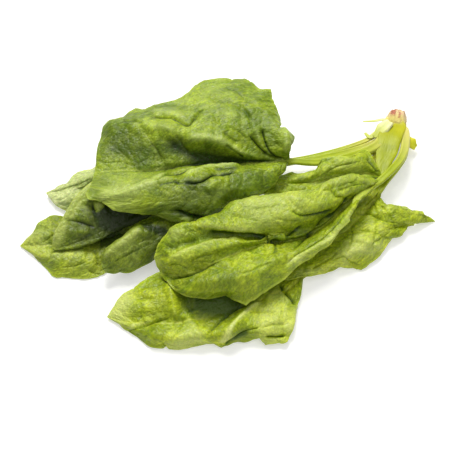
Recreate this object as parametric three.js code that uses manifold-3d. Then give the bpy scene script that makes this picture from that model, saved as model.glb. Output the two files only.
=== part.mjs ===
// Bunch of spinach, lying on its side on a flat surface.
// Nine leaves stand on long stalks that grow out of one root crown; four short
// broken stalks are left round the crown. Millimetres, +Z up. The origin is the
// centre of the bunch's footprint, on the surface it lies on; +X is its long way,
// with the crown at the +X, +Y corner and the leaf tips towards -X.
import * as THREE from 'three';
import { mergeVertices } from 'three/addons/utils/BufferGeometryUtils.js';
import Module from 'manifold-3d';

// ---- driving dimensions (mm) -------------------------------------------------
const BLADE_THICKNESS = 1.1;   // leaf blade between its veins, with its puckers
const MIDRIB_THICKNESS = 1.9;  // blade over the midrib, near the stalk
const MARGIN_THICKNESS = 0.6;  // blade at its edge
const BLADE_ROWS = 15;         // cross sections along a blade
const STALK_ROWS = 11;         // cross sections along a stalk
const STALK_SIDES = 8;
const STALK_FLATTEN = 0.86;    // height over width of a stalk's section
const GAP = 0.3;               // clearance between neighbouring pieces
const CROWN_ROOT = [118.2,90.7,7.1];   // cut end of the root
const CROWN_FRONT = [114.6,77.2,7.5]; // face the stalks grow out of
const CROWN_PROFILE = [        // [share of crown length, radius]
  [0, 3.9], [0.06, 4.6], [0.3, 5.9], [0.62, 7.3], [0.86, 7.5], [1, 7.0],
];

// Blade tables: sections from stalk to tip, each from the far edge to the near edge.
const LEAVES = {
  top_broad: { // broad upper leaf, highest of the bunch
    base: [41,32.3,25.9], tip: [-88.3,21.6,26.9], midrib: 3,
    across: [
      [[41.6,44.5,33.9], [38.1,39.7,37.9], [34.8,36.2,34.9], [27.7,30.7,26.9], [32.1,24.3,29.9], [32.7,20.9,28.9], [33.5,20.7,25.9]],
      [[32.8,71.8,35.9], [26.5,59.2,40.9], [19.7,43,37.9], [12.4,29.1,27.9], [18.2,17.9,32.9], [20.1,10.4,29.9], [20.9,9.9,23.9]],
      [[22.3,86.5,34.9], [11.2,67.8,41.9], [4.5,43.2,40.9], [-2.8,28.3,28.9], [2.5,12.4,35.9], [4.4,0.1,31.9], [5.1,-0.7,22.9]],
      [[-0.1,97,32.9], [-8.8,71.2,40.9], [-13.3,42.4,41.9], [-18.6,27.5,28.9], [-16.4,7.7,37.9], [-14.4,-5.5,32.9], [-18.3,-13.5,21.9]],
      [[-25.8,85.4,30.9], [-30.1,63.4,38.9], [-33.8,43.1,39.9], [-36.4,25.9,28.9], [-34.5,5.2,36.9], [-33.7,-7.9,32.9], [-42.3,-11.8,23.9]],
      [[-54,73.2,29.9], [-54.1,57.3,35.9], [-54.3,41.2,35.9], [-54.1,23.4,28.9], [-52.6,3.6,35.9], [-53.1,-6.3,32.9], [-64.9,-9.9,26.9]],
      [[-80.6,60.2,27.9], [-76.6,47.7,31.9], [-74.9,36.8,30.9], [-72.5,22.5,27.9], [-72.3,6.6,32.9], [-76.8,0.8,30.9], [-85.9,-1.9,27.9]],
    ],
    stalk: { path: [[111.4,77.7,11.7], [110.2,73.8,12.1], [99.4,59.1,15.2], [78.4,46.8,18.9], [57.9,38.7,22.9], [41.5,32.5,25.8]], radii: [2.0, 2.7, 2.2] },
  },
  front_long: { // long front leaf, folded along its midrib, over the low ones
    base: [100.6,21.7,17.9], tip: [-43.2,-47.5,12.1], midrib: 5,
    across: [
      [[81.5,17.3,23.9], [81.1,15.2,28.9], [83.5,9.5,28.9], [85.1,9.9,23.9], [84.5,8.1,21.9], [83.9,6.4,20.9], [85.9,0.4,25.9], [88.4,-2.1,24.9]],
      [[61.2,6.2,27.9], [60.7,1.1,34.9], [63,-9.4,33.9], [66.1,-9.4,23.9], [67.5,-9.6,20.9], [68.3,-9.8,18.9], [70.8,-18.7,25.9], [74.6,-21.9,24.9]],
      [[35.7,0.5,26.9], [35.3,-5.2,36.9], [39.5,-19.5,34.9], [45,-22,23.9], [48.9,-23.8,21.9], [50.3,-24.1,18.9], [54.9,-33.7,24.9], [59.5,-36.3,21.9]],
      [[11.6,-2.7,26.9], [12.7,-8.4,36.9], [15.2,-24.2,34.9], [21.7,-27.3,25.9], [26.8,-30.5,25.9], [30.7,-30.1,20.9], [36.1,-44.3,26.9], [40,-51.2,18.9]],
      [[-9.2,-15.4,27.9], [-7.9,-20.3,35.9], [-5.3,-27.4,34.9], [-1.5,-31.1,27.9], [3.6,-37.1,29.9], [9.4,-38.4,23.9], [13.6,-58.4,29.9], [16.9,-68.8,16.9]],
      [[-29.7,-23.1,29.9], [-28.3,-26.7,33.9], [-24.4,-32.3,31.9], [-21.8,-37.8,29.9], [-16.7,-44.7,30.9], [-13.5,-50.6,24.9], [-9.6,-64.5,28.9], [-8.4,-69.6,16.9]],
      [[-43.1,-34.5,23.9], [-39.8,-36.6,26.9], [-38.4,-41.2,26.9], [-37.1,-45.1,25.9], [-34.5,-49,25.9], [-30.7,-54.8,20.9], [-28,-61.5,21.9], [-30,-64.3,16.9]],
    ],
    stalk: { path: [[118.2,75.8,9.1], [117.4,71.9,9.3], [121,64.1,12], [121.9,49.4,14.4], [116.9,35.6,15.9], [108.9,26.2,17.4], [101.2,22,17.9]], radii: [2.1, 2.9, 2.6] },
  },
  centre_small: { // small leaf between the two big ones
    base: [102.6,28,13.9], tip: [24.5,19.2,13.5], midrib: 2,
    across: [
      [[97.2,35.1,19.9], [95,31,19.9], [91.9,29.8,15.9], [91.5,24.2,17.9], [90.3,23.1,14.9]],
      [[89.4,42.9,22.9], [85.5,32.1,23.9], [81.1,27.4,16.9], [79.3,20.1,18.9], [78.1,17.3,14.9]],
      [[76.3,36.3,24.9], [73.3,28.9,24.9], [69.6,24.2,17.9], [67.2,16,18.9], [65.4,13.1,13.9]],
      [[63,33.8,23.9], [61.4,26.3,23.9], [58.3,21.6,16.9], [55.3,13.5,17.9], [53.5,10.6,12.9]],
      [[57.6,27.7,20.9], [52.8,22.8,20.9], [47.7,20.7,15.9], [45.5,13.4,16.9], [42.9,10.5,11.9]],
      [[46.4,25.9,18.9], [42.3,21.8,18.9], [38.4,19.8,14.9], [36.2,14.1,15.9], [35,12.9,10.9]],
      [[34.5,27.3,15.9], [33.1,23.1,16], [31.1,19.6,14], [29.7,15.6,13.9], [28.4,15.3,10.9]],
    ],
    stalk: { path: [[115.7,76.6,12.3], [114.7,72.7,12.7], [113.6,58.9,15.4], [112.9,47,15.4], [108.2,35.2,15.4], [103,28.4,14]], radii: [2.0, 2.4, 2.0] },
  },
  right_lobed: { // lobed leaf on the right, half under the long front leaf
    base: [101.5,22.4,6.9], tip: [21.7,-48.5,9.1], midrib: 2,
    across: [
      [[95.8,17.5,7.9], [96.2,14.4,9.9], [97,14.2,7.9], [101,8.1,11.9], [104.5,6.1,8.9]],
      [[84.4,14.1,6.9], [87.9,7.9,9.9], [91.2,5.3,8.9], [104.6,2.5,12.9], [115.8,7.8,8.9]],
      [[72.9,8.3,5.9], [78.4,0.6,9.9], [84.2,-3.6,8.9], [109.7,-4.2,10.9], [136.7,1.5,0.5]],
      [[62.2,2.5,4.9], [69.6,-6,8.9], [77.3,-11.6,8.9], [99.4,-12.2,10.9], [121.1,-2.7,1.9]],
      [[52.7,-4.8,4.9], [60.8,-13.2,8.9], [69.9,-18.1,7.9], [91,-20.8,11.9], [110.2,-16.1,3.9]],
      [[43.9,-12.8,4.9], [52.1,-19.7,7.9], [61.1,-25.2,7.9], [78.9,-31.2,10.9], [96.6,-29,1.9]],
      [[36.5,-21.6,4.9], [44.1,-27.6,7.9], [51.9,-30.8,6.9], [65.9,-36.8,8.9], [80.6,-36.7,0.5]],
      [[29.8,-31.1,6.2], [35.5,-34.6,7.9], [42,-36.5,7.2], [51.5,-41.6,9], [60.7,-42.1,4]],
      [[24.4,-40.7,7.7], [27.6,-41.7,8], [32.1,-42.4,7.9], [36.5,-46.1,8.9], [40.4,-49.5,8.2]],
    ],
    stalk: { path: [[119.3,75.4,4.9], [118.6,71.4,4.9], [120.4,66.2,4.9], [120.7,51.3,6.4], [114.4,36.5,6.9], [107.2,27.7,6.4], [101.9,22.8,6.9]], radii: [2.0, 2.5, 2.2] },
  },
  front_low: { // low leaf at the front, lying on the surface
    base: [48.5,-42.7,2.5], tip: [-77.4,-74.3,1.9], midrib: 2,
    across: [
      [[41.4,-39.8,4], [40.6,-46.8,4.1], [39.7,-54.7,5.6], [41.4,-63.1,6.8], [45.3,-65,3.8]],
      [[25.9,-34.3,2.7], [24.3,-49.9,5.3], [21.5,-63.9,6.9], [26.9,-83,9.9], [37,-93.5,2.9]],
      [[7.7,-31.1,3.8], [4.9,-55.1,10.8], [2.4,-73,6.9], [7.3,-88.8,10.9], [18.8,-91.4,1.9]],
      [[-13.2,-31.8,4.9], [-14.2,-56.5,11.9], [-14.8,-78.2,6.9], [-10.9,-91.9,9.9], [-0.2,-93.8,0.9]],
      [[-34.5,-37.1,5.7], [-32.7,-60.5,12.2], [-30.6,-81.2,6.9], [-27.9,-93.5,8.9], [-17.9,-95,0.4]],
      [[-51.7,-49.5,5.9], [-50.4,-67.2,10.8], [-46.4,-82.1,5.9], [-44.2,-92.1,7.9], [-40,-96.4,0.4]],
      [[-69.5,-61.3,3.9], [-67.8,-70.1,5.9], [-62.4,-80.1,3.9], [-60.3,-84.4,4.9], [-63.7,-83.9,0.4]],
    ],
    stalk: { path: [[116,76.2,2.3], [115.1,72.3,2.1], [111.9,58,2.1], [102.8,27.7,1.9], [86,-2,2], [65.2,-27.7,2.3], [48.9,-42.3,2.5]], radii: [1.9, 2.3, 2.1] },
  },
  back_pale: { // leaf at the back left, mostly under the broad one
    base: [2.6,41.5,5.9], tip: [-122.1,22.8,2.9], midrib: 2,
    across: [
      [[-8.9,55.9,4.9], [-11.6,46,8.9], [-13.6,38.2,6.9], [-13.5,29.1,7.9], [-10.8,26.2,3.9]],
      [[-26.1,65.2,3.9], [-27.8,48.7,10.9], [-29.7,35.7,6.9], [-29.5,22.5,7.9], [-25.5,18.6,1.9]],
      [[-43.3,68.6,2.9], [-44.6,48.7,10.9], [-45.8,33.2,6.9], [-45.5,20,7.9], [-42.9,15.1,0.9]],
      [[-60.3,65.2,2.9], [-60.7,43.7,11.9], [-61.8,29.9,7.9], [-61.4,17.5,7.9], [-60.2,13.5,0.9]],
      [[-77,55.9,4.9], [-77.2,37.1,12.9], [-77.6,25.9,8.9], [-77.2,15.1,8.9], [-77.5,11.1,1.9]],
      [[-91.8,40.8,7.9], [-92.2,28.7,12.9], [-93.5,22.5,8.9], [-93,12.8,9.9], [-94,8.8,2.9]],
      [[-107.5,30.6,5.9], [-107.6,24.2,8.9], [-108.3,21.5,6.9], [-107.2,14.2,7.9], [-110.6,9.6,2.9]],
    ],
    stalk: { path: [[108.3,78.4,8.9], [106.9,74.6,9.1], [95.4,65.7,8.9], [76,58,9.9], [48.7,50.2,8.9], [22.9,44.2,7.9], [3.2,41.6,6]], radii: [1.9, 2.3, 1.8] },
  },
  far_left: { // lowest leaf of the left pile, tip furthest out
    base: [-15.4,8.1,3.9], tip: [-136.8,-18.8,0.9], midrib: 2,
    across: [
      [[-24.1,12.1,2.9], [-27.3,6.6,4.9], [-30.6,2.4,3.9], [-29.9,-4.1,3.9], [-30.5,-8.3,1.9]],
      [[-40.1,9.5,1.9], [-43.2,2.5,4.9], [-45.8,-2.5,3.9], [-44.9,-11.3,3.9], [-46.1,-19.6,0.9]],
      [[-57.4,6.9,0.9], [-59,-1.6,4.9], [-60.8,-8.1,3.9], [-59.8,-18.5,3.9], [-62.2,-30.4,0.4]],
      [[-74.6,5.3,0.9], [-75.3,-5.5,5.9], [-75.8,-12.9,3.9], [-75.2,-25.5,4.8], [-78.9,-39,0.4]],
      [[-91.9,4.1,1.4], [-90.8,-9.3,7.9], [-90.7,-17.3,4.4], [-88.6,-32,6.3], [-93.6,-45.2,0.4]],
      [[-109,3.1,2.9], [-107,-11.6,8.9], [-105.7,-19.4,4.1], [-103.3,-34.8,7.1], [-109.2,-44.4,0.4]],
      [[-123.2,-1.7,3.9], [-122.2,-13.4,6.9], [-121.3,-20.8,3.8], [-119.4,-30.2,4.8], [-122.9,-31.9,0.4]],
    ],
    stalk: { path: [[112.5,77.2,3.1], [111.4,73.3,3], [104.1,54,2.9], [83.5,33.2,2.4], [51.6,23.6,2.9], [17.9,16.3,3.9], [-14.8,8.2,3.9]], radii: [1.9, 2.2, 1.8] },
  },
  left_rounded: { // narrow leaf with a rounded tip, on top of the left pile
    base: [-4.1,8,10.9], tip: [-81.9,-41.1,12.9], midrib: 2,
    across: [
      [[-16.7,9.4,8.9], [-15.3,3.3,12.9], [-13.9,0,12.9], [-12,-3.3,11.9], [-10,-5.2,8.9]],
      [[-27.9,6.2,9.9], [-25.7,-2.1,15.9], [-23.7,-7,14.9], [-21.1,-11.2,12.9], [-18.5,-13.3,7.9]],
      [[-39,1.5,12], [-36.6,-9.1,19], [-33.4,-14,16.9], [-30.1,-18.3,13.9], [-26.9,-21.2,7.9]],
      [[-50,-3.5,13.3], [-46.9,-14.4,20.9], [-42.9,-20.9,18.9], [-39.1,-25.3,14.9], [-36.6,-28.3,7.9]],
      [[-59.6,-9.3,14.7], [-56.4,-20.6,22.9], [-52.4,-27.1,19.9], [-49.2,-32.2,15.9], [-47.5,-34.6,7.9]],
      [[-68.4,-18.1,15.9], [-65.8,-27.6,22.9], [-61.9,-33.4,19.9], [-59.4,-37.7,14.9], [-59,-41.6,7.9]],
      [[-77.8,-27.5,15.9], [-76,-34.1,19.9], [-72.1,-38.2,17.9], [-71,-41,13.9], [-73,-45.5,7.9]],
    ],
    stalk: { path: [[109.1,78.1,4.9], [107.7,74.3,4.9], [98.8,58.8,4.4], [79,43.2,5.9], [51.6,31.6,7.9], [21.2,18.5,9.9], [-3.5,8.2,10.9]], radii: [1.9, 2.3, 1.8] },
  },
  left_folded: { // leaf of the left pile with a rolled far margin
    base: [-12.1,24.6,12.9], tip: [-114,-27.3,8.8], midrib: 2,
    across: [
      [[-22.2,32.9,12.9], [-24,24.9,16.9], [-25.3,17.3,14.9], [-24.6,14,14.9], [-24,13.1,11.7]],
      [[-35.5,34.7,14.9], [-37.2,22.7,19.9], [-38.4,10.1,15.9], [-37,6.7,14.8], [-35.9,6.9,9]],
      [[-52.1,33.2,16.9], [-52.9,17.9,21.9], [-51.4,2.7,15.9], [-49.4,-1,14.3], [-48.3,-1.8,8.6]],
      [[-68.6,28.4,18.9], [-67.8,10.7,22.9], [-64.3,-5.3,15.9], [-62.3,-8.5,13.7], [-60.5,-9.8,8.6]],
      [[-84,19.5,20.9], [-81.2,1.7,22.9], [-77.1,-13.4,14.9], [-74.6,-15.2,12.9], [-72.8,-17.3,8]],
      [[-95.9,6.4,20.9], [-92,-7.3,20.9], [-88.7,-19.9,12.9], [-86.7,-22.5,12], [-84.8,-24.5,9.2]],
      [[-105.9,-9.2,16.9], [-102.9,-17.3,15.9], [-101,-24.1,11], [-99.6,-26.3,10.7], [-98.3,-28.1,9.9]],
    ],
    stalk: { path: [[112,77.4,7.7], [110.8,73.6,7.8], [102.5,56.9,9.1], [80.8,45.4,11.9], [51.5,38.1,14.9], [22.6,33.1,14.9], [-11.5,24.7,12.9]], radii: [2.0, 2.5, 2.0] },
  },
};

// Short broken stalks round the crown: path and radii.
const STUBS = {
  stub_thin: { path: [[110.1,76.8,11.9], [106.1,78.1,12.4], [99.9,77.2,11.9], [92.5,78,10.4]], radii: [0.9, 0.8, 0.45] },
  stub_pale_upper: { path: [[109.3,72.2,14.9], [105.3,68.8,15.4], [100.9,67,14.9], [95.6,67.8,13.4]], radii: [1.0, 1.2, 0.7] },
  stub_pale_lower: { path: [[107.9,71.9,11.4], [101.6,68.4,10.9], [94.7,67.1,10.4], [88.7,67.9,9.4]], radii: [1.0, 1.2, 0.7] },
  stub_crumpled: { path: [[123.9,77.8,7.9], [126.5,71.3,8.4], [128.3,64.6,6.9], [126.4,58.4,4.9]], radii: [1.2, 1.7, 1.0] },
};

// ---- curves and surfaces -----------------------------------------------------
// Catmull-Rom weights of parameter u (0..1) over n points, ends extrapolated.
function weights(u, n) {
  const x = Math.min(Math.max(u, 0), 1) * (n - 1);
  const i = Math.min(Math.floor(x), n - 2), f = x - i, f2 = f * f, f3 = f2 * f;
  const w = new Array(n + 2).fill(0);
  w[i] += -0.5 * f + f2 - 0.5 * f3;
  w[i + 1] += 1 - 2.5 * f2 + 1.5 * f3;
  w[i + 2] += 0.5 * f + 2 * f2 - 1.5 * f3;
  w[i + 3] += -0.5 * f2 + 0.5 * f3;
  const m = w.slice(1, -1);
  m[0] += 2 * w[0]; m[1] -= w[0];
  m[n - 1] += 2 * w[n + 1]; m[n - 2] -= w[n + 1];
  return m;
}

function pointOn(net, s, u) {
  const a = weights(s, net.length), b = weights(u, net[0].length);
  const p = new THREE.Vector3();
  a.forEach((wa, i) => b.forEach((wb, j) => p.addScaledVector(net[i][j], wa * wb)));
  return p;
}

function normalOn(net, s, u) {
  const e = 0.012;
  const ds = pointOn(net, s + e, u).sub(pointOn(net, s - e, u));
  const du = pointOn(net, s, u + e).sub(pointOn(net, s, u - e));
  return ds.cross(du).normalize();
}

// A closed tube of rings between two end points.
function closedRings(start, rings, end) {
  const pos = [], idx = [], n = rings[0].length;
  pos.push(...start.toArray());
  for (const ring of rings) for (const p of ring) pos.push(...p.toArray());
  pos.push(...end.toArray());
  const at = (r, k) => 1 + r * n + (k % n);
  for (let k = 0; k < n; k++) idx.push(0, at(0, k + 1), at(0, k));
  for (let r = 0; r + 1 < rings.length; r++) {
    for (let k = 0; k < n; k++) {
      idx.push(at(r, k), at(r, k + 1), at(r + 1, k + 1));
      idx.push(at(r, k), at(r + 1, k + 1), at(r + 1, k));
    }
  }
  const last = pos.length / 3 - 1;
  for (let k = 0; k < n; k++) idx.push(last, at(rings.length - 1, k), at(rings.length - 1, k + 1));
  const g = new THREE.BufferGeometry();
  g.setAttribute('position', new THREE.Float32BufferAttribute(pos, 3));
  g.setIndex(idx);
  return outward(g);
}

// Turns a closed geometry's faces outward if its volume comes out negative.
function outward(g) {
  const p = g.getAttribute('position'), i = g.getIndex().array;
  const a = new THREE.Vector3(), b = new THREE.Vector3(), c = new THREE.Vector3();
  let v = 0;
  for (let t = 0; t < i.length; t += 3) {
    a.fromBufferAttribute(p, i[t]); b.fromBufferAttribute(p, i[t + 1]); c.fromBufferAttribute(p, i[t + 2]);
    v += a.dot(b.cross(c));
  }
  if (v < 0) for (let t = 0; t < i.length; t += 3) [i[t + 1], i[t + 2]] = [i[t + 2], i[t + 1]];
  return g;
}

// Leaf blade: a closed skin round the curved sheet, thickest along the midrib.
function blade(leaf, grow = 0) {
  const cols = leaf.across[0].length;
  const v = (p) => new THREE.Vector3(...p);
  const net = [Array(cols).fill(0).map(() => v(leaf.base)),
    ...leaf.across.map((row) => row.map(v)),
    Array(cols).fill(0).map(() => v(leaf.tip))];
  const us = [];
  for (let j = 0; j < 2 * cols - 1; j++) us.push(j / (2 * cols - 2));
  const um = leaf.midrib / (cols - 1);
  const rings = [];
  for (let r = 0; r < BLADE_ROWS; r++) {
    const s = 0.03 + 0.94 * (r / (BLADE_ROWS - 1));
    const top = [], under = [];
    for (const u of us) {
      const rim = Math.min(1, Math.min(u, 1 - u) * 7);
      const rib = Math.exp(-(((u - um) / 0.06) ** 2)) * (1 - s);
      const half = 0.5 * (MARGIN_THICKNESS + (BLADE_THICKNESS - MARGIN_THICKNESS) * rim
        + (MIDRIB_THICKNESS - BLADE_THICKNESS) * rib) + grow;
      const p = pointOn(net, s, u), n = normalOn(net, s, Math.min(Math.max(u, 0.03), 0.97));
      if (grow && (u === 0 || u === 1)) {
        const inner = pointOn(net, s, u === 0 ? 0.04 : 0.96);
        p.add(p.clone().sub(inner).normalize().multiplyScalar(grow));
      }
      top.push(p.clone().addScaledVector(n, half));
      under.push(p.clone().addScaledVector(n, -half));
    }
    rings.push([...top, ...under.reverse()]);
  }
  const end = (p, q) => v(p).add(v(p).sub(q).normalize().multiplyScalar(grow));
  return closedRings(end(leaf.base, pointOn(net, 0.04, um)), rings, end(leaf.tip, pointOn(net, 0.96, um)));
}

// Stalk: a tapering, slightly flattened rod along a smooth path.
function stalk(path, radii, rows, sides, grow = 0) {
  const curve = new THREE.CatmullRomCurve3(path, false, 'catmullrom', 0.5);
  const frames = curve.computeFrenetFrames(rows + 1, false);
  const rings = [];
  const stops = radii.length === 3 ? [0, 0.35, 1] : [0, 1];
  const radiusAt = (t) => {
    let k = 0;
    while (k < stops.length - 2 && t > stops[k + 1]) k++;
    return radii[k] + (radii[k + 1] - radii[k]) * ((t - stops[k]) / (stops[k + 1] - stops[k]));
  };
  for (let r = 0; r <= rows; r++) {
    const t = r / rows, c = curve.getPointAt(t);
    const tan = curve.getTangentAt(t);
    let side = new THREE.Vector3(0, 0, 1).cross(tan);
    if (side.length() < 0.2) side = frames.normals[Math.min(r, rows)].clone();
    side.normalize();
    const lift = tan.clone().cross(side).normalize();
    const w = radiusAt(t) + grow, h = radiusAt(t) * STALK_FLATTEN + grow;
    if (r === 0) c.addScaledVector(tan, -grow); if (r === rows) c.addScaledVector(tan, grow);
    rings.push([...Array(sides).keys()].map((k) => {
      const a = (k + 0.5) / sides * 2 * Math.PI;
      return c.clone().addScaledVector(side, w * Math.cos(a)).addScaledVector(lift, h * Math.sin(a));
    }));
  }
  const mid = (ring) => ring.reduce((s, p) => s.add(p), new THREE.Vector3()).divideScalar(ring.length);
  return closedRings(mid(rings[0]), rings, mid(rings[rings.length - 1]));
}

// Root crown: a turned body from the cut root to the face the stalks leave.
function crown(grow = 0) {
  const a = new THREE.Vector3(...CROWN_ROOT), b = new THREE.Vector3(...CROWN_FRONT);
  const len = a.distanceTo(b);
  const along = (t) => -grow + t * (len + 2 * grow);
  const profile = [new THREE.Vector2(0, along(0)), ...CROWN_PROFILE.map(([t, r]) => new THREE.Vector2(r + grow, along(t))),
    new THREE.Vector2(0, along(1))];
  let g = new THREE.LatheGeometry(profile, 16);
  g.deleteAttribute('normal'); g.deleteAttribute('uv');
  g = mergeVertices(g, 1e-4);
  g = dropDegenerate(g);
  g.applyQuaternion(new THREE.Quaternion().setFromUnitVectors(new THREE.Vector3(0, 1, 0), b.clone().sub(a).normalize()));
  g.translate(a.x, a.y, a.z);
  return outward(g);
}

function dropDegenerate(g) {
  const i = g.getIndex().array, out = [];
  for (let t = 0; t < i.length; t += 3) {
    if (i[t] !== i[t + 1] && i[t + 1] !== i[t + 2] && i[t] !== i[t + 2]) out.push(i[t], i[t + 1], i[t + 2]);
  }
  g.setIndex(out);
  return g;
}

// ---- cutting a piece back from its neighbours ----------------------------------
const wasm = await Module();
wasm.setup();

function solid(g) {
  return new wasm.Manifold(new wasm.Mesh({
    numProp: 3,
    vertProperties: Float32Array.from(g.getAttribute('position').array),
    triVerts: Uint32Array.from(g.getIndex().array),
  }));
}

function geometryOf(s) {
  const m = s.getMesh();
  let g = new THREE.BufferGeometry();
  g.setAttribute('position', new THREE.Float32BufferAttribute(Float32Array.from(m.vertProperties), 3));
  g.setIndex(Array.from(m.triVerts));
  g = mergeVertices(g, 1e-5);
  return dropDegenerate(g);
}

// Largest connected part, so that a cut never leaves loose slivers.
function largest(s) {
  const parts = s.decompose();
  return parts.reduce((a, b) => (b.volume() > a.volume() ? b : a));
}

// ---- the bunch ---------------------------------------------------------------
const bunch = new THREE.Group();
bunch.name = 'spinach_bunch';

function addMesh(name, geometry, colour, roughness) {
  geometry.computeVertexNormals();
  const mesh = new THREE.Mesh(geometry, new THREE.MeshStandardMaterial({ color: colour, roughness, metalness: 0 }));
  mesh.name = name;
  bunch.add(mesh);
}

const BLADE_COLOURS = {
  top_broad: 0x7c9a35, front_long: 0x93ad3c, centre_small: 0x9bac28, right_lobed: 0xa0b035,
  front_low: 0x97ab3c, back_pale: 0x9db36a, far_left: 0x80963a, left_rounded: 0x66752d, left_folded: 0x75812e,
};

const grown = [];   // pieces placed so far, grown by the gap
const near = (a, b) => a.clone().expandByScalar(GAP).intersectsBox(b);

function place(name, geometry, grownGeometry, colour, roughness) {
  geometry.computeBoundingBox();
  const box = geometry.boundingBox.clone();
  const cutters = grown.filter((g) => near(g.box, box));
  let s = solid(geometry), cut = false;
  for (const c of cutters) {
    const left = s.subtract(c.solid);
    if (Math.abs(left.volume() - s.volume()) > 1e-6) { s = left; cut = true; }
  }
  const final = cut ? geometryOf(largest(s)) : geometry;
  grown.push({ box, solid: solid(grownGeometry) });
  addMesh(name, final, colour, roughness);
}

place('root_crown', crown(), crown(GAP), 0xe6d2b4, 0.5);

for (const [name, leaf] of Object.entries(LEAVES)) {
  place(`blade_${name}`, blade(leaf), blade(leaf, GAP), BLADE_COLOURS[name], 0.45);
}
for (const [name, leaf] of Object.entries(LEAVES)) {
  const path = leaf.stalk.path.map((p) => new THREE.Vector3(...p));
  place(`stalk_${name}`, stalk(path, leaf.stalk.radii, STALK_ROWS, STALK_SIDES),
    stalk(path, leaf.stalk.radii, STALK_ROWS, STALK_SIDES, GAP), 0xc7d25d, 0.4);
}

for (const [name, stub] of Object.entries(STUBS)) {
  const path = stub.path.map((p) => new THREE.Vector3(...p));
  place(name, stalk(path, stub.radii, 6, 6), stalk(path, stub.radii, 6, 6, GAP), 0xdde0a0, 0.5);
}

export default bunch;
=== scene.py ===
"""Looks of a bunch of spinach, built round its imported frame. Metres, +Z up, lying on z = 0.

Every leaf is a thin closed shell over the same smooth sheet as its CAD blade, with its own margin, veins,
puckers, folds and ripples made in geometry; every stalk is a channelled rod that runs on as the midrib.
Sheets are laid out on a drawing plane: across, down (one unit is UNIT mm) and height in mm, seen from ELEV degrees.
"""
import math

import bpy
import numpy as np
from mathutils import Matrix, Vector


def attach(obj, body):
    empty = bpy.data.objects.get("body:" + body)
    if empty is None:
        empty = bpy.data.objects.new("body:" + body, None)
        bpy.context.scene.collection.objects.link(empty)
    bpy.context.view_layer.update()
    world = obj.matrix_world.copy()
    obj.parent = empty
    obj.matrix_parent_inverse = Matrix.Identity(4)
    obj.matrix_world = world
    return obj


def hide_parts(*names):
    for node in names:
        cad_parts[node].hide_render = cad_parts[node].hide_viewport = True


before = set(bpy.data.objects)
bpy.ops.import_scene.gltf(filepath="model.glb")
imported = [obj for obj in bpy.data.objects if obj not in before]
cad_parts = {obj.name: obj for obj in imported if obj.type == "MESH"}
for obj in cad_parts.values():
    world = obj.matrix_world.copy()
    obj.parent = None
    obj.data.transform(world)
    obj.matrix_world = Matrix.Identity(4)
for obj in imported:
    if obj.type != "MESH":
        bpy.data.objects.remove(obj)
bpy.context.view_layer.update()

# ------------------------------------------------------------------ drawing plane
ELEV = math.radians(55.0)
DIST = 1100.0
UNIT = 0.65
SHIFT = np.array([-2.1, -14.6, -1.1])
FWD = np.array([0.0, math.cos(ELEV), -math.sin(ELEV)])
UP = np.array([0.0, math.sin(ELEV), math.cos(ELEV)])
RIGHT = np.array([1.0, 0.0, 0.0])
AIM = np.array([0.0, 0.0, 20.0])
EYE = AIM - DIST * FWD


def lift(q):
    """(..., 3) of across, down, height to (..., 3) millimetres in the row frame."""
    q = np.asarray(q, float)
    d = FWD * DIST + RIGHT * ((q[..., 0:1] - 225.0) * UNIT) + UP * ((225.0 - q[..., 1:2]) * UNIT)
    k = (EYE[2] - q[..., 2:3]) / (-d[..., 2:3])
    return EYE + k * d + SHIFT


def flat_of(p):
    """(..., 3) millimetres to (..., 2) on the drawing plane."""
    q = np.asarray(p, float) - SHIFT - EYE
    dep = q @ FWD
    return np.stack([225.0 + (q @ RIGHT) / dep * DIST / UNIT, 225.0 - (q @ UP) / dep * DIST / UNIT], -1)


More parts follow.
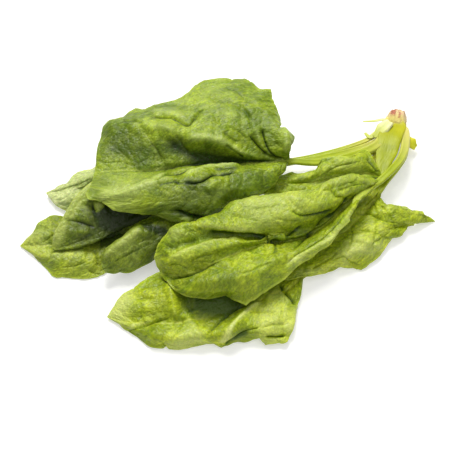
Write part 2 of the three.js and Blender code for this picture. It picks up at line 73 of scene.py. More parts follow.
# ------------------------------------------------------------------ tables (across, down, height)
LEAVES = {
    'A': dict(  # broad upper leaf
        base=[290, 161, 27], tip=[94, 173, 28], midrib=3, at=(-3.2, 4.2), radii=(2.0, 2.7, 2.2),
        stalk=[[377, 145, 16.3], [350, 156.5, 20], [318, 162.5, 24]],
        across=[
            [[291, 139, 35], [286, 141, 39], [281, 148, 36], [270, 162, 28], [277, 167, 31], [278, 172, 30], [279, 175, 27]],
            [[277, 105, 37], [268, 115, 42], [258, 137, 39], [247, 163, 29], [256, 172, 34], [259, 184, 31], [260, 190, 25]],
            [[261, 89, 36], [245, 104, 43], [235, 134, 42], [224, 163, 30], [232, 176, 37], [235, 195, 33], [236, 204, 24]],
            [[228, 79, 34], [215, 101, 42], [208, 134, 43], [200, 164, 30], [203, 180, 39], [206, 201, 34], [200, 221, 23]],
            [[190, 94, 32], [183, 112, 40], [177, 135, 41], [173, 166, 30], [175, 184, 38], [176, 204, 34], [163, 217, 25]],
            [[148, 109, 31], [147, 122, 37], [146, 141, 37], [146, 169, 30], [147, 187, 37], [146, 202, 34], [128, 212, 28]],
            [[108, 126, 29], [113, 137, 33], [115, 151, 32], [118, 171, 29], [117, 186, 34], [110, 195, 32], [96, 201, 29]],
        ]),
    'D': dict(  # long front leaf
        base=[380, 181, 19], tip=[161, 273, 13.2], midrib=5, at=(3.8, 1.6), radii=(2.1, 2.8, 2.6),
        stalk=[[404.5, 131, 13.1], [405, 147, 15.5], [400, 160, 17], [390.5, 171, 18.5]],
        across=[
            [[352, 181, 25], [352, 179, 30], [356, 186, 30], [358, 190, 25], [357, 194, 23], [356, 197, 22], [360, 200, 27], [364, 204, 26]],
            [[322, 191, 29], [322, 191, 36], [326, 205, 35], [330, 214, 25], [332, 217, 22], [333, 219, 20], [338, 224, 27], [344, 229, 26]],
            [[283, 199, 28], [283, 197, 38], [290, 217, 36], [298, 230, 25], [304, 234, 23], [306, 237, 20], [314, 244, 26], [321, 250, 23]],
            [[246, 203, 28], [248, 201, 38], [252, 223, 36], [262, 235, 27], [270, 239, 27], [276, 243, 22], [285, 256, 28], [291, 272, 20]],
            [[214, 218, 29], [216, 217, 37], [220, 227, 36], [226, 238, 29], [234, 244, 31], [243, 251, 25], [250, 272, 31], [255, 297, 18]],
            [[182, 226, 31], [184, 227, 35], [190, 236, 33], [194, 245, 31], [202, 253, 32], [207, 266, 26], [213, 281, 30], [215, 298, 18]],
            [[161, 246, 25], [166, 246, 28], [168, 252, 28], [170, 258, 27], [174, 263, 27], [180, 275, 22], [184, 283, 23], [181, 291, 18]],
        ]),
    'G': dict(  # small centre leaf
        base=[382, 177, 15], tip=[256, 193, 12.5], midrib=2, at=(1.2, 4.8), radii=(2.1, 2.6, 2.1),
        stalk=[[390.5, 135, 16.5], [387, 150, 16.5], [383.5, 163, 16.5]],
        across=[
            [[374, 163, 21], [371, 168, 21], [366, 173, 17], [366, 178, 19], [364, 182, 16]],
            [[362, 151, 24], [357, 163, 25], [350, 175, 18], [348, 182, 20], [346, 189, 16]],
            [[343, 157, 26], [339, 166, 26], [333, 178, 19], [330, 187, 20], [327, 195, 15]],
            [[323, 161, 25], [321, 170, 25], [316, 182, 18], [312, 191, 19], [309, 199, 14]],
            [[315, 171, 22], [308, 177, 22], [300, 184, 17], [297, 192, 18], [293, 200, 13]],
            [[298, 175, 20], [292, 180, 20], [286, 186, 16], [283, 192, 17], [281, 198, 12]],
            [[280, 176, 17], [278, 181, 17.1], [275, 187, 15.1], [273, 192, 15], [271, 195, 12]],
        ]),
    'F': dict(  # lobed right leaf
        base=[380, 190, 8], tip=[262, 277, 10.2], midrib=2, at=(5.0, -2.6), radii=(2.0, 2.5, 2.2),
        stalk=[[404.5, 140, 6], [404, 155, 7.5], [396.5, 168, 8], [386.5, 180.5, 7.5]],
        across=[
            [[372, 195, 9], [373, 197, 11], [374, 199, 9], [381, 203, 13], [386, 208, 10]],
            [[355, 200, 8], [361, 205, 11], [366, 209, 10], [387, 209, 14], [403, 206, 10]],
            [[338, 208, 7], [347, 214, 11], [356, 220, 10], [395, 219, 12], [434, 221, 1.6]],
            [[322, 216, 6], [334, 223, 10], [346, 230, 10], [380, 229, 12], [411, 225, 3]],
            [[308, 225, 6], [321, 232, 10], [335, 239, 9], [368, 239, 13], [396, 240, 5]],
            [[295, 235, 6], [308, 241, 9], [322, 248, 9], [350, 253, 12], [376, 258, 3]],
            [[284, 246, 6], [296, 251, 9], [308, 256, 8], [330, 262, 10], [352, 269, 1.6]],
            [[274, 257, 7.3], [283, 260, 9], [293, 263, 8.3], [308, 268, 10.1], [322, 273, 5.1]],
            [[266, 268, 8.8], [271, 269, 9.1], [278, 270, 9], [285, 274, 10], [291, 279, 9.3]],
        ]),
    'E': dict(  # low front leaf
        base=[303, 275, 3.6], tip=[107, 317, 3], midrib=2, at=(1.6, -5.2), radii=(1.9, 2.3, 2.1),
        stalk=[[388, 150, 3.2], [380, 184, 3], [358, 224, 3.1], [328, 256, 3.4]],
        across=[
            [[292, 270, 5.1], [291, 279, 5.2], [290, 288, 6.7], [293, 298, 7.9], [299, 303, 4.9]],
            [[268, 264, 3.8], [266, 282, 6.4], [262, 299, 8], [271, 322, 11], [287, 342, 4]],
            [[240, 259, 4.9], [236, 284, 11.9], [232, 311, 8], [240, 329, 12], [258, 340, 3]],
            [[208, 259, 6], [206, 285, 13], [205, 318, 8], [211, 334, 11], [228, 344, 2]],
            [[175, 265, 6.8], [177, 290, 13.3], [180, 322, 8], [184, 337, 10], [200, 346, 1.5]],
            [[148, 281, 7], [149, 300, 11.9], [155, 324, 7], [158, 336, 9], [165, 348, 1.5]],
            [[120, 298, 5], [122, 308, 7], [130, 323, 5], [133, 328, 6], [128, 331, 1.5]],
        ]),
    'B': dict(  # pale leaf at the back left
        base=[232, 168, 7], tip=[46, 193, 4], midrib=2, at=(-6.4, 1.4), radii=(1.7, 1.6, 1.3),
        stalk=[[371, 138, 10], [343, 148.5, 11], [304, 158, 10], [262, 164, 9]],
        across=[
            [[215, 152, 6], [211, 160, 10], [208, 171, 8], [208, 181, 9], [212, 188, 5]],
            [[190, 142, 5], [187, 155, 12], [184, 174, 8], [184, 189, 9], [190, 199, 3]],
            [[165, 139, 4], [162, 155, 12], [160, 177, 8], [160, 192, 9], [164, 204, 2]],
            [[140, 143, 4], [138, 160, 13], [136, 180, 9], [136, 195, 9], [138, 206, 2]],
            [[115, 152, 6], [113, 167, 14], [112, 184, 10], [112, 197, 10], [112, 208, 3]],
            [[92, 167, 9], [90, 177, 14], [88, 188, 10], [88, 199, 11], [87, 210, 4]],
            [[68, 181, 7], [67, 186, 10], [66, 191, 8], [67, 199, 9], [62, 209, 4]],
        ]),
    'C1': dict(  # lowest leaf of the left pile
        base=[205, 210, 5], tip=[20, 246, 2], midrib=2, at=(-2.0, -4.4), radii=(1.9, 2.2, 1.8),
        stalk=[[381, 152, 4], [352, 181, 3.5], [305, 192, 4], [255, 200, 5]],
        across=[
            [[192, 206, 4], [187, 211, 6], [182, 217, 5], [183, 225, 5], [182, 232, 3]],
            [[168, 210, 3], [163, 216, 6], [159, 223, 5], [160, 234, 5], [158, 247, 2]],
            [[142, 214, 2], [139, 221, 6], [136, 230, 5], [137, 243, 5], [133, 261, 1.5]],
            [[116, 216, 2], [114, 225, 7], [113, 236, 5], [113, 251, 5.9], [107, 272, 1.5]],
            [[90, 217, 2.5], [90, 228, 9], [90, 241, 5.5], [92, 258, 7.4], [84, 280, 1.5]],
            [[64, 217, 4], [65, 230, 10], [67, 244, 5.2], [69, 261, 8.2], [60, 279, 1.5]],
            [[42, 222, 5], [42, 234, 8], [43, 246, 4.9], [45, 257, 5.9], [40, 263, 1.5]],
        ]),
    'C3': dict(  # narrow rounded leaf
        base=[222, 204, 12], tip=[101, 264, 14], midrib=2, at=(-5.6, -2.6), radii=(1.9, 2.3, 1.8),
        stalk=[[373, 149, 5.5], [345, 166, 7], [305, 178, 9], [260, 192, 11]],
        across=[
            [[203, 204, 10], [205, 208, 14], [207, 212, 14], [210, 217, 13], [213, 222, 10]],
            [[186, 207, 11], [189, 212, 17], [192, 219, 16], [196, 226, 14], [200, 233, 9]],
            [[169, 211, 13.1], [172, 218, 20.1], [177, 226, 18], [182, 234, 15], [187, 243, 9]],
            [[152, 216, 14.4], [156, 223, 22], [162, 233, 20], [168, 242, 16], [172, 252, 9]],
            [[137, 222, 15.8], [141, 229, 24], [147, 240, 21], [152, 250, 17], [155, 260, 9]],
            [[123, 232, 17], [126, 238, 24], [132, 248, 21], [136, 258, 16], [137, 269, 9]],
            [[108, 244, 17], [110, 249, 21], [116, 256, 19], [118, 263, 15], [115, 274, 9]],
        ]),
    'C2': dict(  # folded left leaf
        base=[210, 182, 14], tip=[53, 250, 9.9], midrib=2, at=(-2.6, 0.2), radii=(2.0, 2.0, 1.7),
        stalk=[[376, 142, 10.2], [345, 152.5, 13], [308, 160, 16], [262, 168, 16]],
        across=[
            [[195, 172, 14], [192, 178, 18], [190, 189, 16], [191, 193, 16], [192, 197, 12.8]],
            [[175, 168, 16], [172, 178, 21], [170, 197, 17], [172, 202, 15.9], [174, 207, 10.1]],
            [[150, 168, 18], [148, 182, 23], [150, 206, 17], [153, 212, 15.4], [155, 218, 9.7]],
            [[125, 172, 20], [125, 190, 24], [130, 216, 17], [133, 222, 14.8], [136, 228, 9.7]],
            [[101, 181, 22], [104, 201, 24], [110, 227, 16], [114, 231, 14], [117, 238, 9.1]],
            [[82, 197, 22], [87, 214, 22], [92, 237, 14], [95, 241, 13.1], [98, 246, 10.3]],
            [[66, 220, 18], [70, 231, 17], [73, 244, 12.1], [75, 247, 11.8], [77, 250, 11]],
        ]),
}
CROWN = ([399, 110, 8.2], [395, 125, 8.6])
STUBS = {
    'stub_thin': ([[389, 121.5, 13], [383, 119.5, 13.5], [374, 121, 13], [363, 121.5, 11.5]], [0.9, 0.8, 0.45]),
    'stub_pale_upper': ([[390, 122, 16], [385, 126, 16.8], [380, 131, 16.3], [374, 137, 14.6]], [2.4, 3.6, 1.5]),
    'stub_pale_lower': ([[386, 127.5, 12.5], [377, 132.5, 12], [370, 137, 11.5], [365, 133, 10.5]], [1.2, 1.5, 0.8]),
    'stub_crumpled': ([[406, 136, 9], [409.5, 140.5, 9.5], [413, 144.5, 8], [415.5, 147.5, 6]], [1.1, 3.4, 2.0]),
}

# how each leaf looks: veins, puckers, folds, and painted light and shade. Folds are (polyline on the drawing plane,
# height mm, half width units, kind). Bands (polyline, half width units, amount) and spots (across, down, radius units,
# amount) are painted highlight where the amount is positive and painted shade where it is negative.
LOOKS = {
    "A": dict(seed=11, big=True, veins=7, pucker=0.63, cell=11.0, quilt=0.45, wave=1.0, ripple=0.9, ripple_mm=21, ragged=0.6, crumple=0.54,
              far=[(281.5, 160), (284, 154), (288, 147), (293.5, 137.5), (284.5, 131), (280, 127), (282, 124), (281, 118), (279, 113), (276, 107), (271.5, 99), (270.5, 90), (262, 90), (257, 88.5), (252, 84), (245, 80.5), (232, 80), (226, 78.5), (213, 80), (205, 82), (197, 87), (190, 93), (182, 98), (175, 100.5), (165, 103), (155, 106), (146, 112), (142, 112), (136, 110.5), (130, 113), (124, 119), (118, 121.5), (110, 125), (104, 128), (101.5, 133), (100, 140), (98.5, 150), (96.5, 162), (95, 170)],
              near=[(286, 166), (283, 171), (279, 177), (271, 188), (262, 193), (240, 203), (215, 216), (205, 221), (195, 223), (180, 223), (172, 222), (162, 217), (155, 213), (140, 213), (128, 211.5), (112, 210), (107, 206), (101, 201), (95, 200), (88, 200), (86, 195), (90, 188), (93, 180)],
              folds=[
                  ([(100, 131), (115, 126), (130, 125), (145, 127), (155, 129), (165, 130), (175, 134), (184, 141)], 2.6, 7, "roof"),
                  ([(181, 143), (186, 141), (192, 138.5), (200, 138), (210, 138.5), (220, 141), (230, 146), (238, 152), (248, 158)], 3.0, 5.5, "roof"),
                  ([(172, 131), (178, 138), (183, 146), (190, 154)], -1.0, 4, "crease"),
                  ([(165, 134), (172, 142), (182, 151), (200, 157), (225, 159), (250, 160)], -1.9, 7, "ridge"),
                  ([(120, 172.5), (150, 170), (165, 168), (180, 165), (210, 162), (250, 161), (282, 161)], -2.2, 4, "crease"),
                  ([(94, 199), (110, 196), (120, 195), (130, 192), (140, 189), (150, 186), (160, 184), (170, 181.5), (182, 179)], 2.4, 5, "roof"),
                  ([(150, 181), (164, 176), (180, 171.5), (198, 168), (215, 165)], 0.9, 2.6, "roof"),
                  ([(181, 179), (187, 176), (195, 173.5), (205, 171), (212, 168), (220, 166.5), (232, 167), (246, 168)], 2.3, 2.8, "roof"),
                  ([(181, 181.5), (190, 182.5), (200, 182), (207, 178.5), (214, 175), (225, 174.5), (238, 171)], -3.2, 2.2, "crease"),
                  ([(152, 186), (160, 181), (168, 176.5), (180, 173), (196, 170)], -1.6, 2.0, "crease"),
                  ([(157, 187), (165, 184.5), (172, 182.5), (181, 181.5)], -1.6, 2.4, "crease"),
                  ([(174, 185), (184, 184), (192, 190), (197, 184)], -1.0, 2.4, "crease"),
                  ([(229, 172), (230, 180), (231, 190), (234, 198)], -0.8, 2.4, "crease"),
                  ([(206, 192), (214, 184), (224, 180)], 1.3, 5, "ridge"),
                  ([(170, 210), (180, 211.5), (190, 215), (200, 217.5), (208, 217.5), (216, 214)], -3.0, 3, "crease"),
                  ([(150, 211), (165, 214), (180, 219), (198, 221)], 1.0, 3.5, "roof"),
                  ([(261, 126), (264, 140), (268, 150), (276, 157), (286, 160)], -2.6, 4, "crease"),
                  ([(268, 128), (272, 138), (277, 148)], -0.7, 5, "ridge"),
                  ([(248, 134), (258, 146), (268, 155), (282, 160)], -2.2, 3.2, "crease"),
                  ([(254, 126), (262, 145), (273, 156)], 1.8, 3.5, "roof"),
                  ([(231, 145), (245, 153), (262, 159)], 1.4, 3.5, "roof"),
                  ([(223, 142), (234, 149.5), (244, 158)], -1.6, 3, "crease"),
                  ([(281, 126), (286, 139), (284, 154)], 2.0, 3.5, "roof"),
                  ([(148, 119.5), (160, 119), (170, 119.5), (178, 122), (188, 126), (193, 121), (199, 113), (209, 108)], -1.9, 2.6, "crease"),
                  ([(152, 116), (165, 115), (180, 118), (189, 119)], 1.2, 3.5, "roof"),
                  ([(122, 125.5), (135, 124.5), (146, 127)], -0.9, 2.4, "crease"),
                  ([(205, 98), (220, 102), (235, 105), (247, 113), (254, 124)], -1.1, 3, "crease"),
                  ([(224, 90), (236, 92), (246, 100), (258, 106)], -1.0, 3, "crease"),
                  ([(222, 133), (230, 138), (238, 143)], -1.3, 2.4, "crease"),
                  ([(226, 126), (233, 129), (241, 133), (246, 140)], -1.3, 2.4, "crease"),
                  ([(238, 102), (244, 108), (249, 118), (252, 132)], -1.0, 2.4, "crease"),
                  ([(212, 112), (218, 122), (222, 131)], -0.8, 2.4, "crease"),
                  ([(128, 150), (134, 158), (139, 166)], -0.6, 2.2, "crease"),
                  ([(112, 150), (124, 160), (128, 170)], -0.6, 2.2, "crease"),
                  ([(150, 142), (158, 152), (162, 165)], -0.6, 2.6, "crease"),
              ],
              light_shade_bands=[([(96, 197), (112, 194), (130, 190), (148, 186), (160, 183), (176, 180)], 3.4, 0.6), ([(182, 178), (195, 173.5), (212, 168.5), (236, 166.8)], 1.7, 1.1), ([(150, 182), (166, 176), (182, 171.5), (200, 167.5)], 1.6, 0.8), ([(192, 138.5), (205, 137.5), (222, 140), (238, 149), (250, 155)], 2.6, 0.45), ([(150, 115), (170, 115), (188, 119)], 3.0, 0.25),
                     ([(182, 181.5), (190, 183), (200, 182.5), (207, 179), (214, 175.5), (225, 175), (236, 171.5)], 1.5, -1.4), ([(153, 187), (161, 182), (169, 177.5), (181, 174.5), (196, 171)], 1.3, -1.1), ([(157, 188), (165, 185.5), (173, 183.5), (181, 182.5)], 1.2, -1.0), ([(160, 179), (172, 174), (186, 170), (204, 166)], 1.1, -0.7), ([(214, 171), (226, 170.5), (240, 170)], 1.1, -0.7),
                     ([(176, 211), (190, 215.5), (205, 218), (214, 215)], 1.8, -0.8), ([(188, 153), (205, 157.5), (240, 160), (280, 160.5)], 1.9, -0.8), ([(148, 120), (160, 119.5), (170, 120), (178, 122.5), (188, 126.5), (193, 121.5), (199, 114)], 1.0, -0.8), ([(150, 142), (158, 150), (164, 160)], 1.0, -0.4),
                     ([(122, 126), (135, 125), (146, 127.5)], 1.0, -0.5), ([(262, 126), (265, 140), (269, 150), (277, 157.5)], 1.3, -0.8), ([(248, 134), (258, 146), (268, 155)], 1.0, -0.7), ([(224, 143), (235, 150), (245, 158)], 1.1, -0.8), ([(110, 194), (126, 189), (142, 184)], 0.9, -0.35)],
              light_shade_spots=[(135, 152, 22, -0.45), (114, 142, 15, -0.35), (212, 151, 18, -0.45), (248, 158, 14, -0.35), (266, 128, 18, 0.15), (172, 143, 8, -0.35), (165, 201, 24, -0.35), (200, 206, 18, -0.5), (230, 196, 12, -0.3),
                     (118, 184, 20, 0.45), (148, 181, 14, 0.4), (130, 196, 14, 0.2), (218, 186, 9, 0.3), (250, 174, 14, 0.15), (212, 92, 12, 0.25), (182, 118, 22, 0.15), (220, 122, 18, 0.15)]),
    "D": dict(seed=23, big=True, veins=8, pucker=0.55, cell=10.0, quilt=0.4, wave=0.9, ripple=0.8, ripple_mm=20, ragged=0.6, crumple=0.47,
              far=[(372, 178), (365, 178), (355, 176), (347, 176), (338, 178), (328, 182.5), (322, 187), (319, 191), (305, 191), (290, 193), (275, 196), (262, 197), (250, 200), (235, 202), (228, 206), (222, 211), (215, 215), (209, 219), (200, 222), (196, 226), (191, 223), (180, 225), (171, 230), (165, 236), (160, 243), (156.5, 250), (154, 258), (156.5, 266)],
              near=[(374, 183.5), (362, 188.5), (354.5, 196), (351.5, 206), (347, 219), (339, 231), (330, 245), (320, 251), (309, 259), (297, 266), (285, 279), (275, 285.5), (262, 293.5), (250, 301), (246, 305), (242, 303), (236, 301), (231, 298), (226, 295), (221, 297), (210, 298), (200, 297), (187, 296), (178, 292), (171, 287), (165, 281), (160, 274)],
              folds=[
                  ([(190, 223), (200, 225), (212, 226.5), (228, 228), (245, 229), (258, 231), (267, 236)], 2.1, 4.4, "roof"),
                  ([(200, 232), (225, 234), (245, 235), (258, 236), (270, 240), (286, 243)], -2.0, 4.5, "ridge"),
                  ([(162, 264), (172, 259), (182, 255), (190, 251.5), (200, 247.5), (215, 243), (230, 240), (248, 239)], 1.5, 3.4, "roof"),
                  ([(168, 231), (178, 234), (190, 237)], 1.2, 4, "roof"),
                  ([(163, 250), (175, 246), (188, 243), (200, 240)], -1.4, 4, "ridge"),
                  ([(166, 279), (185, 276), (200, 270), (212, 265), (226, 259)], -2.0, 3, "crease"),
                  ([(206, 268), (218, 263), (234, 266)], 1.2, 4, "roof"),
                  ([(352, 193), (347, 200), (342, 208), (335, 213), (322, 221), (315, 229), (305, 238), (297, 246), (288, 253)], -2.6, 3.2, "crease"),
                  ([(350, 196), (344, 205), (336, 212)], -1.0, 3, "ridge"),
                  ([(361, 201), (350, 216), (340, 228), (330, 240), (318, 247), (303, 255), (290, 264), (280, 275)], 1.3, 3, "roof"),
                  ([(350, 209), (344, 218), (334, 228), (321, 240), (306, 250), (294, 257), (282, 269)], -1.0, 2.0, "crease"),
                  ([(318, 190), (330, 185), (340, 180), (350, 178), (362, 181), (376, 182)], 0.9, 3, "roof"),
                  ([(324, 184), (336, 186.5), (346, 184), (358, 181)], -1.2, 1.8, "crease"),
                  ([(332, 190), (342, 189), (352, 186), (366, 183.5)], -1.1, 1.8, "crease"),
                  ([(338, 179), (346, 183), (352, 189)], 0.8, 1.8, "roof"),
                  ([(321, 190), (331, 189.5), (337, 196), (346, 198)], -2.2, 3, "crease"),
                  ([(331, 182), (334, 190), (339, 199)], -1.4, 3, "crease"),
                  ([(350, 193), (362, 188), (376, 182)], 0.8, 2.4, "roof"),
                  ([(289, 208), (297, 214), (305, 215.5), (320, 213), (336, 208)], -1.8, 2.8, "crease"),
                  ([(290, 202), (300, 200), (312, 203), (326, 205)], 0.9, 3.5, "roof"),
                  ([(262, 234), (270, 240), (275, 247), (272, 256)], -1.6, 2.6, "crease"),
                  ([(302, 224), (294, 231), (283, 238)], -1.6, 2.6, "crease"),
                  ([(268, 233), (278, 236), (288, 236)], 1.3, 2.6, "roof"),
                  ([(240, 246), (250, 250), (255, 258)], -0.9, 2.4, "crease"),
                  ([(256, 252), (266, 246), (278, 250)], 1.1, 4, "roof"),
                  ([(170, 284), (190, 290), (215, 290), (232, 289), (242, 294)], 1.3, 3.6, "roof"),
                  ([(205, 266), (222, 268), (238, 274)], -0.9, 2.4, "crease"),
                  ([(232, 276), (248, 272), (262, 266), (275, 262)], -0.9, 2.6, "crease"),
                  ([(190, 262), (200, 257), (214, 254)], -0.8, 2.4, "crease"),
                  ([(250, 210), (266, 208), (284, 205)], -0.7, 2.6, "crease"),
                  ([(230, 215), (246, 219), (262, 222)], -0.7, 2.6, "crease"),
                  ([(275, 218), (288, 221), (300, 220)], -0.8, 2.4, "crease"),
                  ([(167, 266), (176, 264), (184, 267), (190, 272)], -0.9, 2.2, "crease"),
              ],
              light_shade_bands=[([(356, 205), (342, 225), (330, 238), (318, 245), (303, 253), (290, 261), (282, 270)], 1.6, 0.8), ([(346, 214), (334, 228), (321, 240), (306, 250), (294, 257)], 1.2, -0.3), ([(349, 196), (344, 204), (338, 211), (326, 219)], 1.4, -0.9), ([(205, 229.5), (225, 231), (248, 232.5), (262, 236), (272, 240)], 1.5, -0.9), ([(168, 259), (182, 254), (200, 246.5), (225, 241), (245, 238)], 1.6, 0.6), ([(166, 281), (185, 277), (200, 271), (212, 266), (226, 260)], 1.1, -0.7), ([(324, 185), (336, 187.5), (346, 185), (358, 182)], 0.9, -0.7), ([(332, 191), (342, 190), (352, 187)], 0.9, -0.7), ([(290, 209), (298, 215), (306, 216), (321, 213.5), (336, 209)], 1.0, -0.8), ([(263, 235), (271, 241), (276, 248), (273, 256)], 1.1, -0.6), ([(302, 225), (294, 232), (283, 239)], 1.1, -0.7), ([(192, 224.5), (205, 227), (228, 227.5), (250, 229)], 1.4, 0.5), ([(232, 204), (250, 202), (275, 199), (300, 196)], 4.0, 0.2)],
              light_shade_spots=[(262, 209, 24, 0.6), (300, 200, 18, 0.2), (222, 234, 20, -0.35), (254, 238, 12, -0.2), (248, 262, 14, 0.3), (225, 250, 10, 0.25), (330, 216, 14, -0.4), (346, 202, 5, -0.2), (332, 198, 14, 0.35), (302, 238, 13, -0.45), (280, 244, 14, -0.3), (176, 235, 6, 0.35), (186, 254, 11, 0.35), (232, 246, 14, 0.2),
                     (205, 290, 26, -0.3), (157, 262, 5, 0.6), (330, 238, 6, 0.3), (300, 257, 7, 0.3), (216, 268, 10, 0.15), (235, 272, 26, -0.22), (172, 270, 10, -0.15), (345, 186, 8, 0.2)]),
    "G": dict(seed=31, veins=6, pucker=0.45, cell=8.0, quilt=0.4, wave=0.9, ripple=0.9, ripple_mm=15, ragged=0.6, crumple=0.41,
              far=[(380, 172), (376.5, 166), (373, 159), (369.5, 152.5), (365, 149), (360, 151), (355, 156), (350, 158), (340, 157), (330, 157.5), (323, 158.5), (321, 163), (317, 169), (310, 171.5), (305, 174), (298, 174.5), (292, 172.5), (284, 175), (275, 178), (268, 183)],
              folds=[
                  ([(270, 182), (280, 184), (295, 184), (308, 184), (320, 178), (336, 175), (355, 170), (370, 169)], 0.8, 4, "ridge"),
                  ([(285, 178), (300, 179), (315, 175), (330, 170), (350, 167), (366, 166)], 0.6, 3, "roof"),
                  ([(366, 158), (371, 165), (377, 173)], -1.0, 2.4, "crease"),
                  ([(272, 190), (282, 186), (296, 189), (312, 189)], 1.5, 3.5, "roof"),
                  ([(330, 160), (345, 161), (358, 160)], 1.0, 3, "roof"),
                  ([(325, 172), (340, 166), (355, 163)], -0.9, 2.4, "crease"),
              ],
              light_shade_bands=[([(300, 186), (318, 181), (336, 177), (356, 173), (374, 174)], 5.0, 0.9), ([(325, 166), (340, 167), (356, 162)], 1.0, 0.5), ([(322, 175), (338, 172), (352, 170)], 1.0, -0.5), ([(367, 157), (372, 165), (379, 173)], 1.1, -0.5)],
              light_shade_spots=[(300, 184, 14, -0.25), (340, 173, 12, -0.15), (365, 168, 8, -0.15), (345, 163, 14, 0.15), (298, 176, 6, 0.35), (282, 189, 7, 0.3), (338, 161, 12, 0.1)]),
    "F": dict(seed=43, veins=7, pucker=0.55, cell=9.0, quilt=0.5, wave=1.0, ripple=1.1, ripple_mm=15, ragged=0.9, crumple=0.47,
              far=[(374, 180), (362, 183), (349, 191), (334, 204), (318, 218), (300, 234)],
              near=[(381, 192), (381, 199), (383.5, 206), (388, 211.5), (394, 211.5), (401, 207.5), (406, 207.5), (410, 212.5), (414.5, 215.5), (421, 216.5), (428, 218.5), (435.5, 222.5), (429, 220.3), (423, 218), (418, 218.6), (414.5, 221.5), (413, 225), (410.5, 222), (407.5, 225.5), (405.5, 230.5), (401, 235), (393, 236.5), (389, 242.3), (384, 248.5), (379.5, 253.5), (374, 259.5), (369, 262.5), (365, 266.5), (360, 268.5), (355, 267), (348, 267.5), (341, 266.5), (334, 270.5), (326, 273.5), (314, 275.5), (300, 278), (288, 281)],
              folds=[
                  ([(383, 196), (372, 203), (369, 212)], -1.5, 3, "crease"),
                  ([(384, 207), (398, 210), (413, 215), (430, 219)], 1.2, 3.5, "roof"),
                  ([(352, 214), (366, 214), (385, 221), (402, 224)], -1.4, 3, "crease"),
                  ([(356, 230), (372, 232), (388, 238)], -1.3, 2.8, "crease"),
                  ([(338, 246), (352, 242), (366, 243), (382, 247)], 1.3, 3.6, "roof"),
                  ([(342, 262), (350, 253), (362, 250), (374, 254)], 1.2, 3.6, "roof"),
                  ([(330, 262), (343, 257), (352, 262), (362, 266)], -1.5, 3, "crease"),
                  ([(310, 270), (325, 262), (338, 252)], -1.4, 3, "crease"),
                  ([(362, 222), (378, 212), (392, 214)], 1.0, 3.5, "roof"),
                  ([(372, 200), (377, 214), (376, 232), (370, 250)], -1.0, 2.6, "crease"),
                  ([(380, 205), (392, 220), (396, 236)], -0.9, 2.6, "crease"),
                  ([(350, 222), (352, 238), (346, 256)], -1.0, 2.6, "crease"),
                  ([(345, 236), (356, 238), (368, 236)], 0.8, 2.8, "roof"),
                  ([(368, 246), (378, 240), (390, 232)], -1.2, 2.6, "crease"),
                  ([(300, 274), (315, 270), (330, 268)], 0.9, 3, "roof"),
              ],
              light_shade_bands=[([(300, 270), (320, 258), (340, 243), (355, 225)], 5.0, -0.3), ([(370, 196), (358, 206), (350, 216)], 5.0, -0.2), ([(345, 247), (355, 250), (365, 246)], 3.0, 0.4)],
              light_shade_spots=[(354, 250, 12, 0.35), (364, 198, 13, -0.25), (325, 250, 14, -0.2), (345, 230, 12, -0.15), (395, 214, 8, -0.1), (312, 271, 10, 0.2), (380, 245, 8, 0.2), (400, 228, 8, -0.15), (370, 240, 10, 0.2), (358, 262, 6, -0.2), (340, 255, 9, 0.3), (325, 262, 10, 0.2), (378, 225, 12, 0.15)]),
    "E": dict(seed=57, veins=7, pucker=0.50, cell=10.0, quilt=0.5, wave=1.0, ripple=1.0, ripple_mm=16, ragged=0.9, crumple=0.44,
              far=[(270, 262), (240, 258), (200, 262), (163, 271), (156, 275), (148, 281), (141, 285), (135, 291), (127, 294), (120, 298), (113, 308)],
              near=[(303, 280), (300, 290), (297.5, 304), (293, 318), (290, 332), (287, 342), (280, 343), (267, 344), (265, 338), (256, 338.5), (245, 341), (238, 342), (230, 344), (222, 346.5), (216, 343), (207, 343), (198, 345.5), (190, 346), (178, 348.5), (170, 348.5), (168, 344), (163, 348), (152, 346), (146, 342), (138, 337), (127, 330), (118, 324)],
              folds=[
                  ([(166, 282), (170, 292), (172, 300), (174, 310), (177, 322)], 2.2, 4, "roof"),
                  ([(180, 290), (186, 302), (190, 312)], -0.8, 6, "ridge"),
                  ([(126, 331), (140, 328), (150, 324.5), (160, 321), (172, 318)], -1.6, 2.6, "crease"),
                  ([(128, 327), (142, 324), (154, 320)], 1.2, 3.2, "roof"),
                  ([(180, 314), (190, 322), (198, 334), (200, 342)], 1.2, 4, "roof"),
                  ([(172, 340), (180, 330), (184, 318)], -1.1, 2.8, "crease"),
                  ([(216, 344), (228, 333), (240, 322), (252, 310), (264, 301)], 2.6, 4, "roof"),
                  ([(222, 346), (232, 338), (245, 331), (262, 327)], -2.0, 3.5, "crease"),
                  ([(206, 338), (218, 324), (232, 313), (246, 306)], -1.8, 3.5, "crease"),
                  ([(278, 283), (282, 289), (287, 296), (293, 302), (298, 306)], -3.0, 3, "crease"),
                  ([(264, 300), (276, 294), (285, 298), (291, 306)], 1.6, 3.6, "roof"),
                  ([(295, 303), (292, 315), (289, 328), (286, 337)], 1.8, 3.2, "roof"),
                  ([(264, 336.5), (274, 337), (287, 336)], -2.6, 2.4, "crease"),
                  ([(248, 316), (262, 312), (280, 314)], -1.2, 2.8, "crease"),
                  ([(262, 328), (274, 325), (286, 326)], -1.1, 2.6, "crease"),
                  ([(230, 320), (236, 314), (244, 312)], 1.0, 2.6, "roof"),
                  ([(132, 302), (144, 299), (160, 300)], -0.9, 2.6, "crease"),
                  ([(130, 312), (146, 308), (164, 309)], 0.8, 3.2, "roof"),
                  ([(140, 290), (152, 288), (164, 286)], -0.8, 2.6, "crease"),
                  ([(150, 340), (156, 332), (160, 324)], 0.9, 3.0, "roof"),
              ],
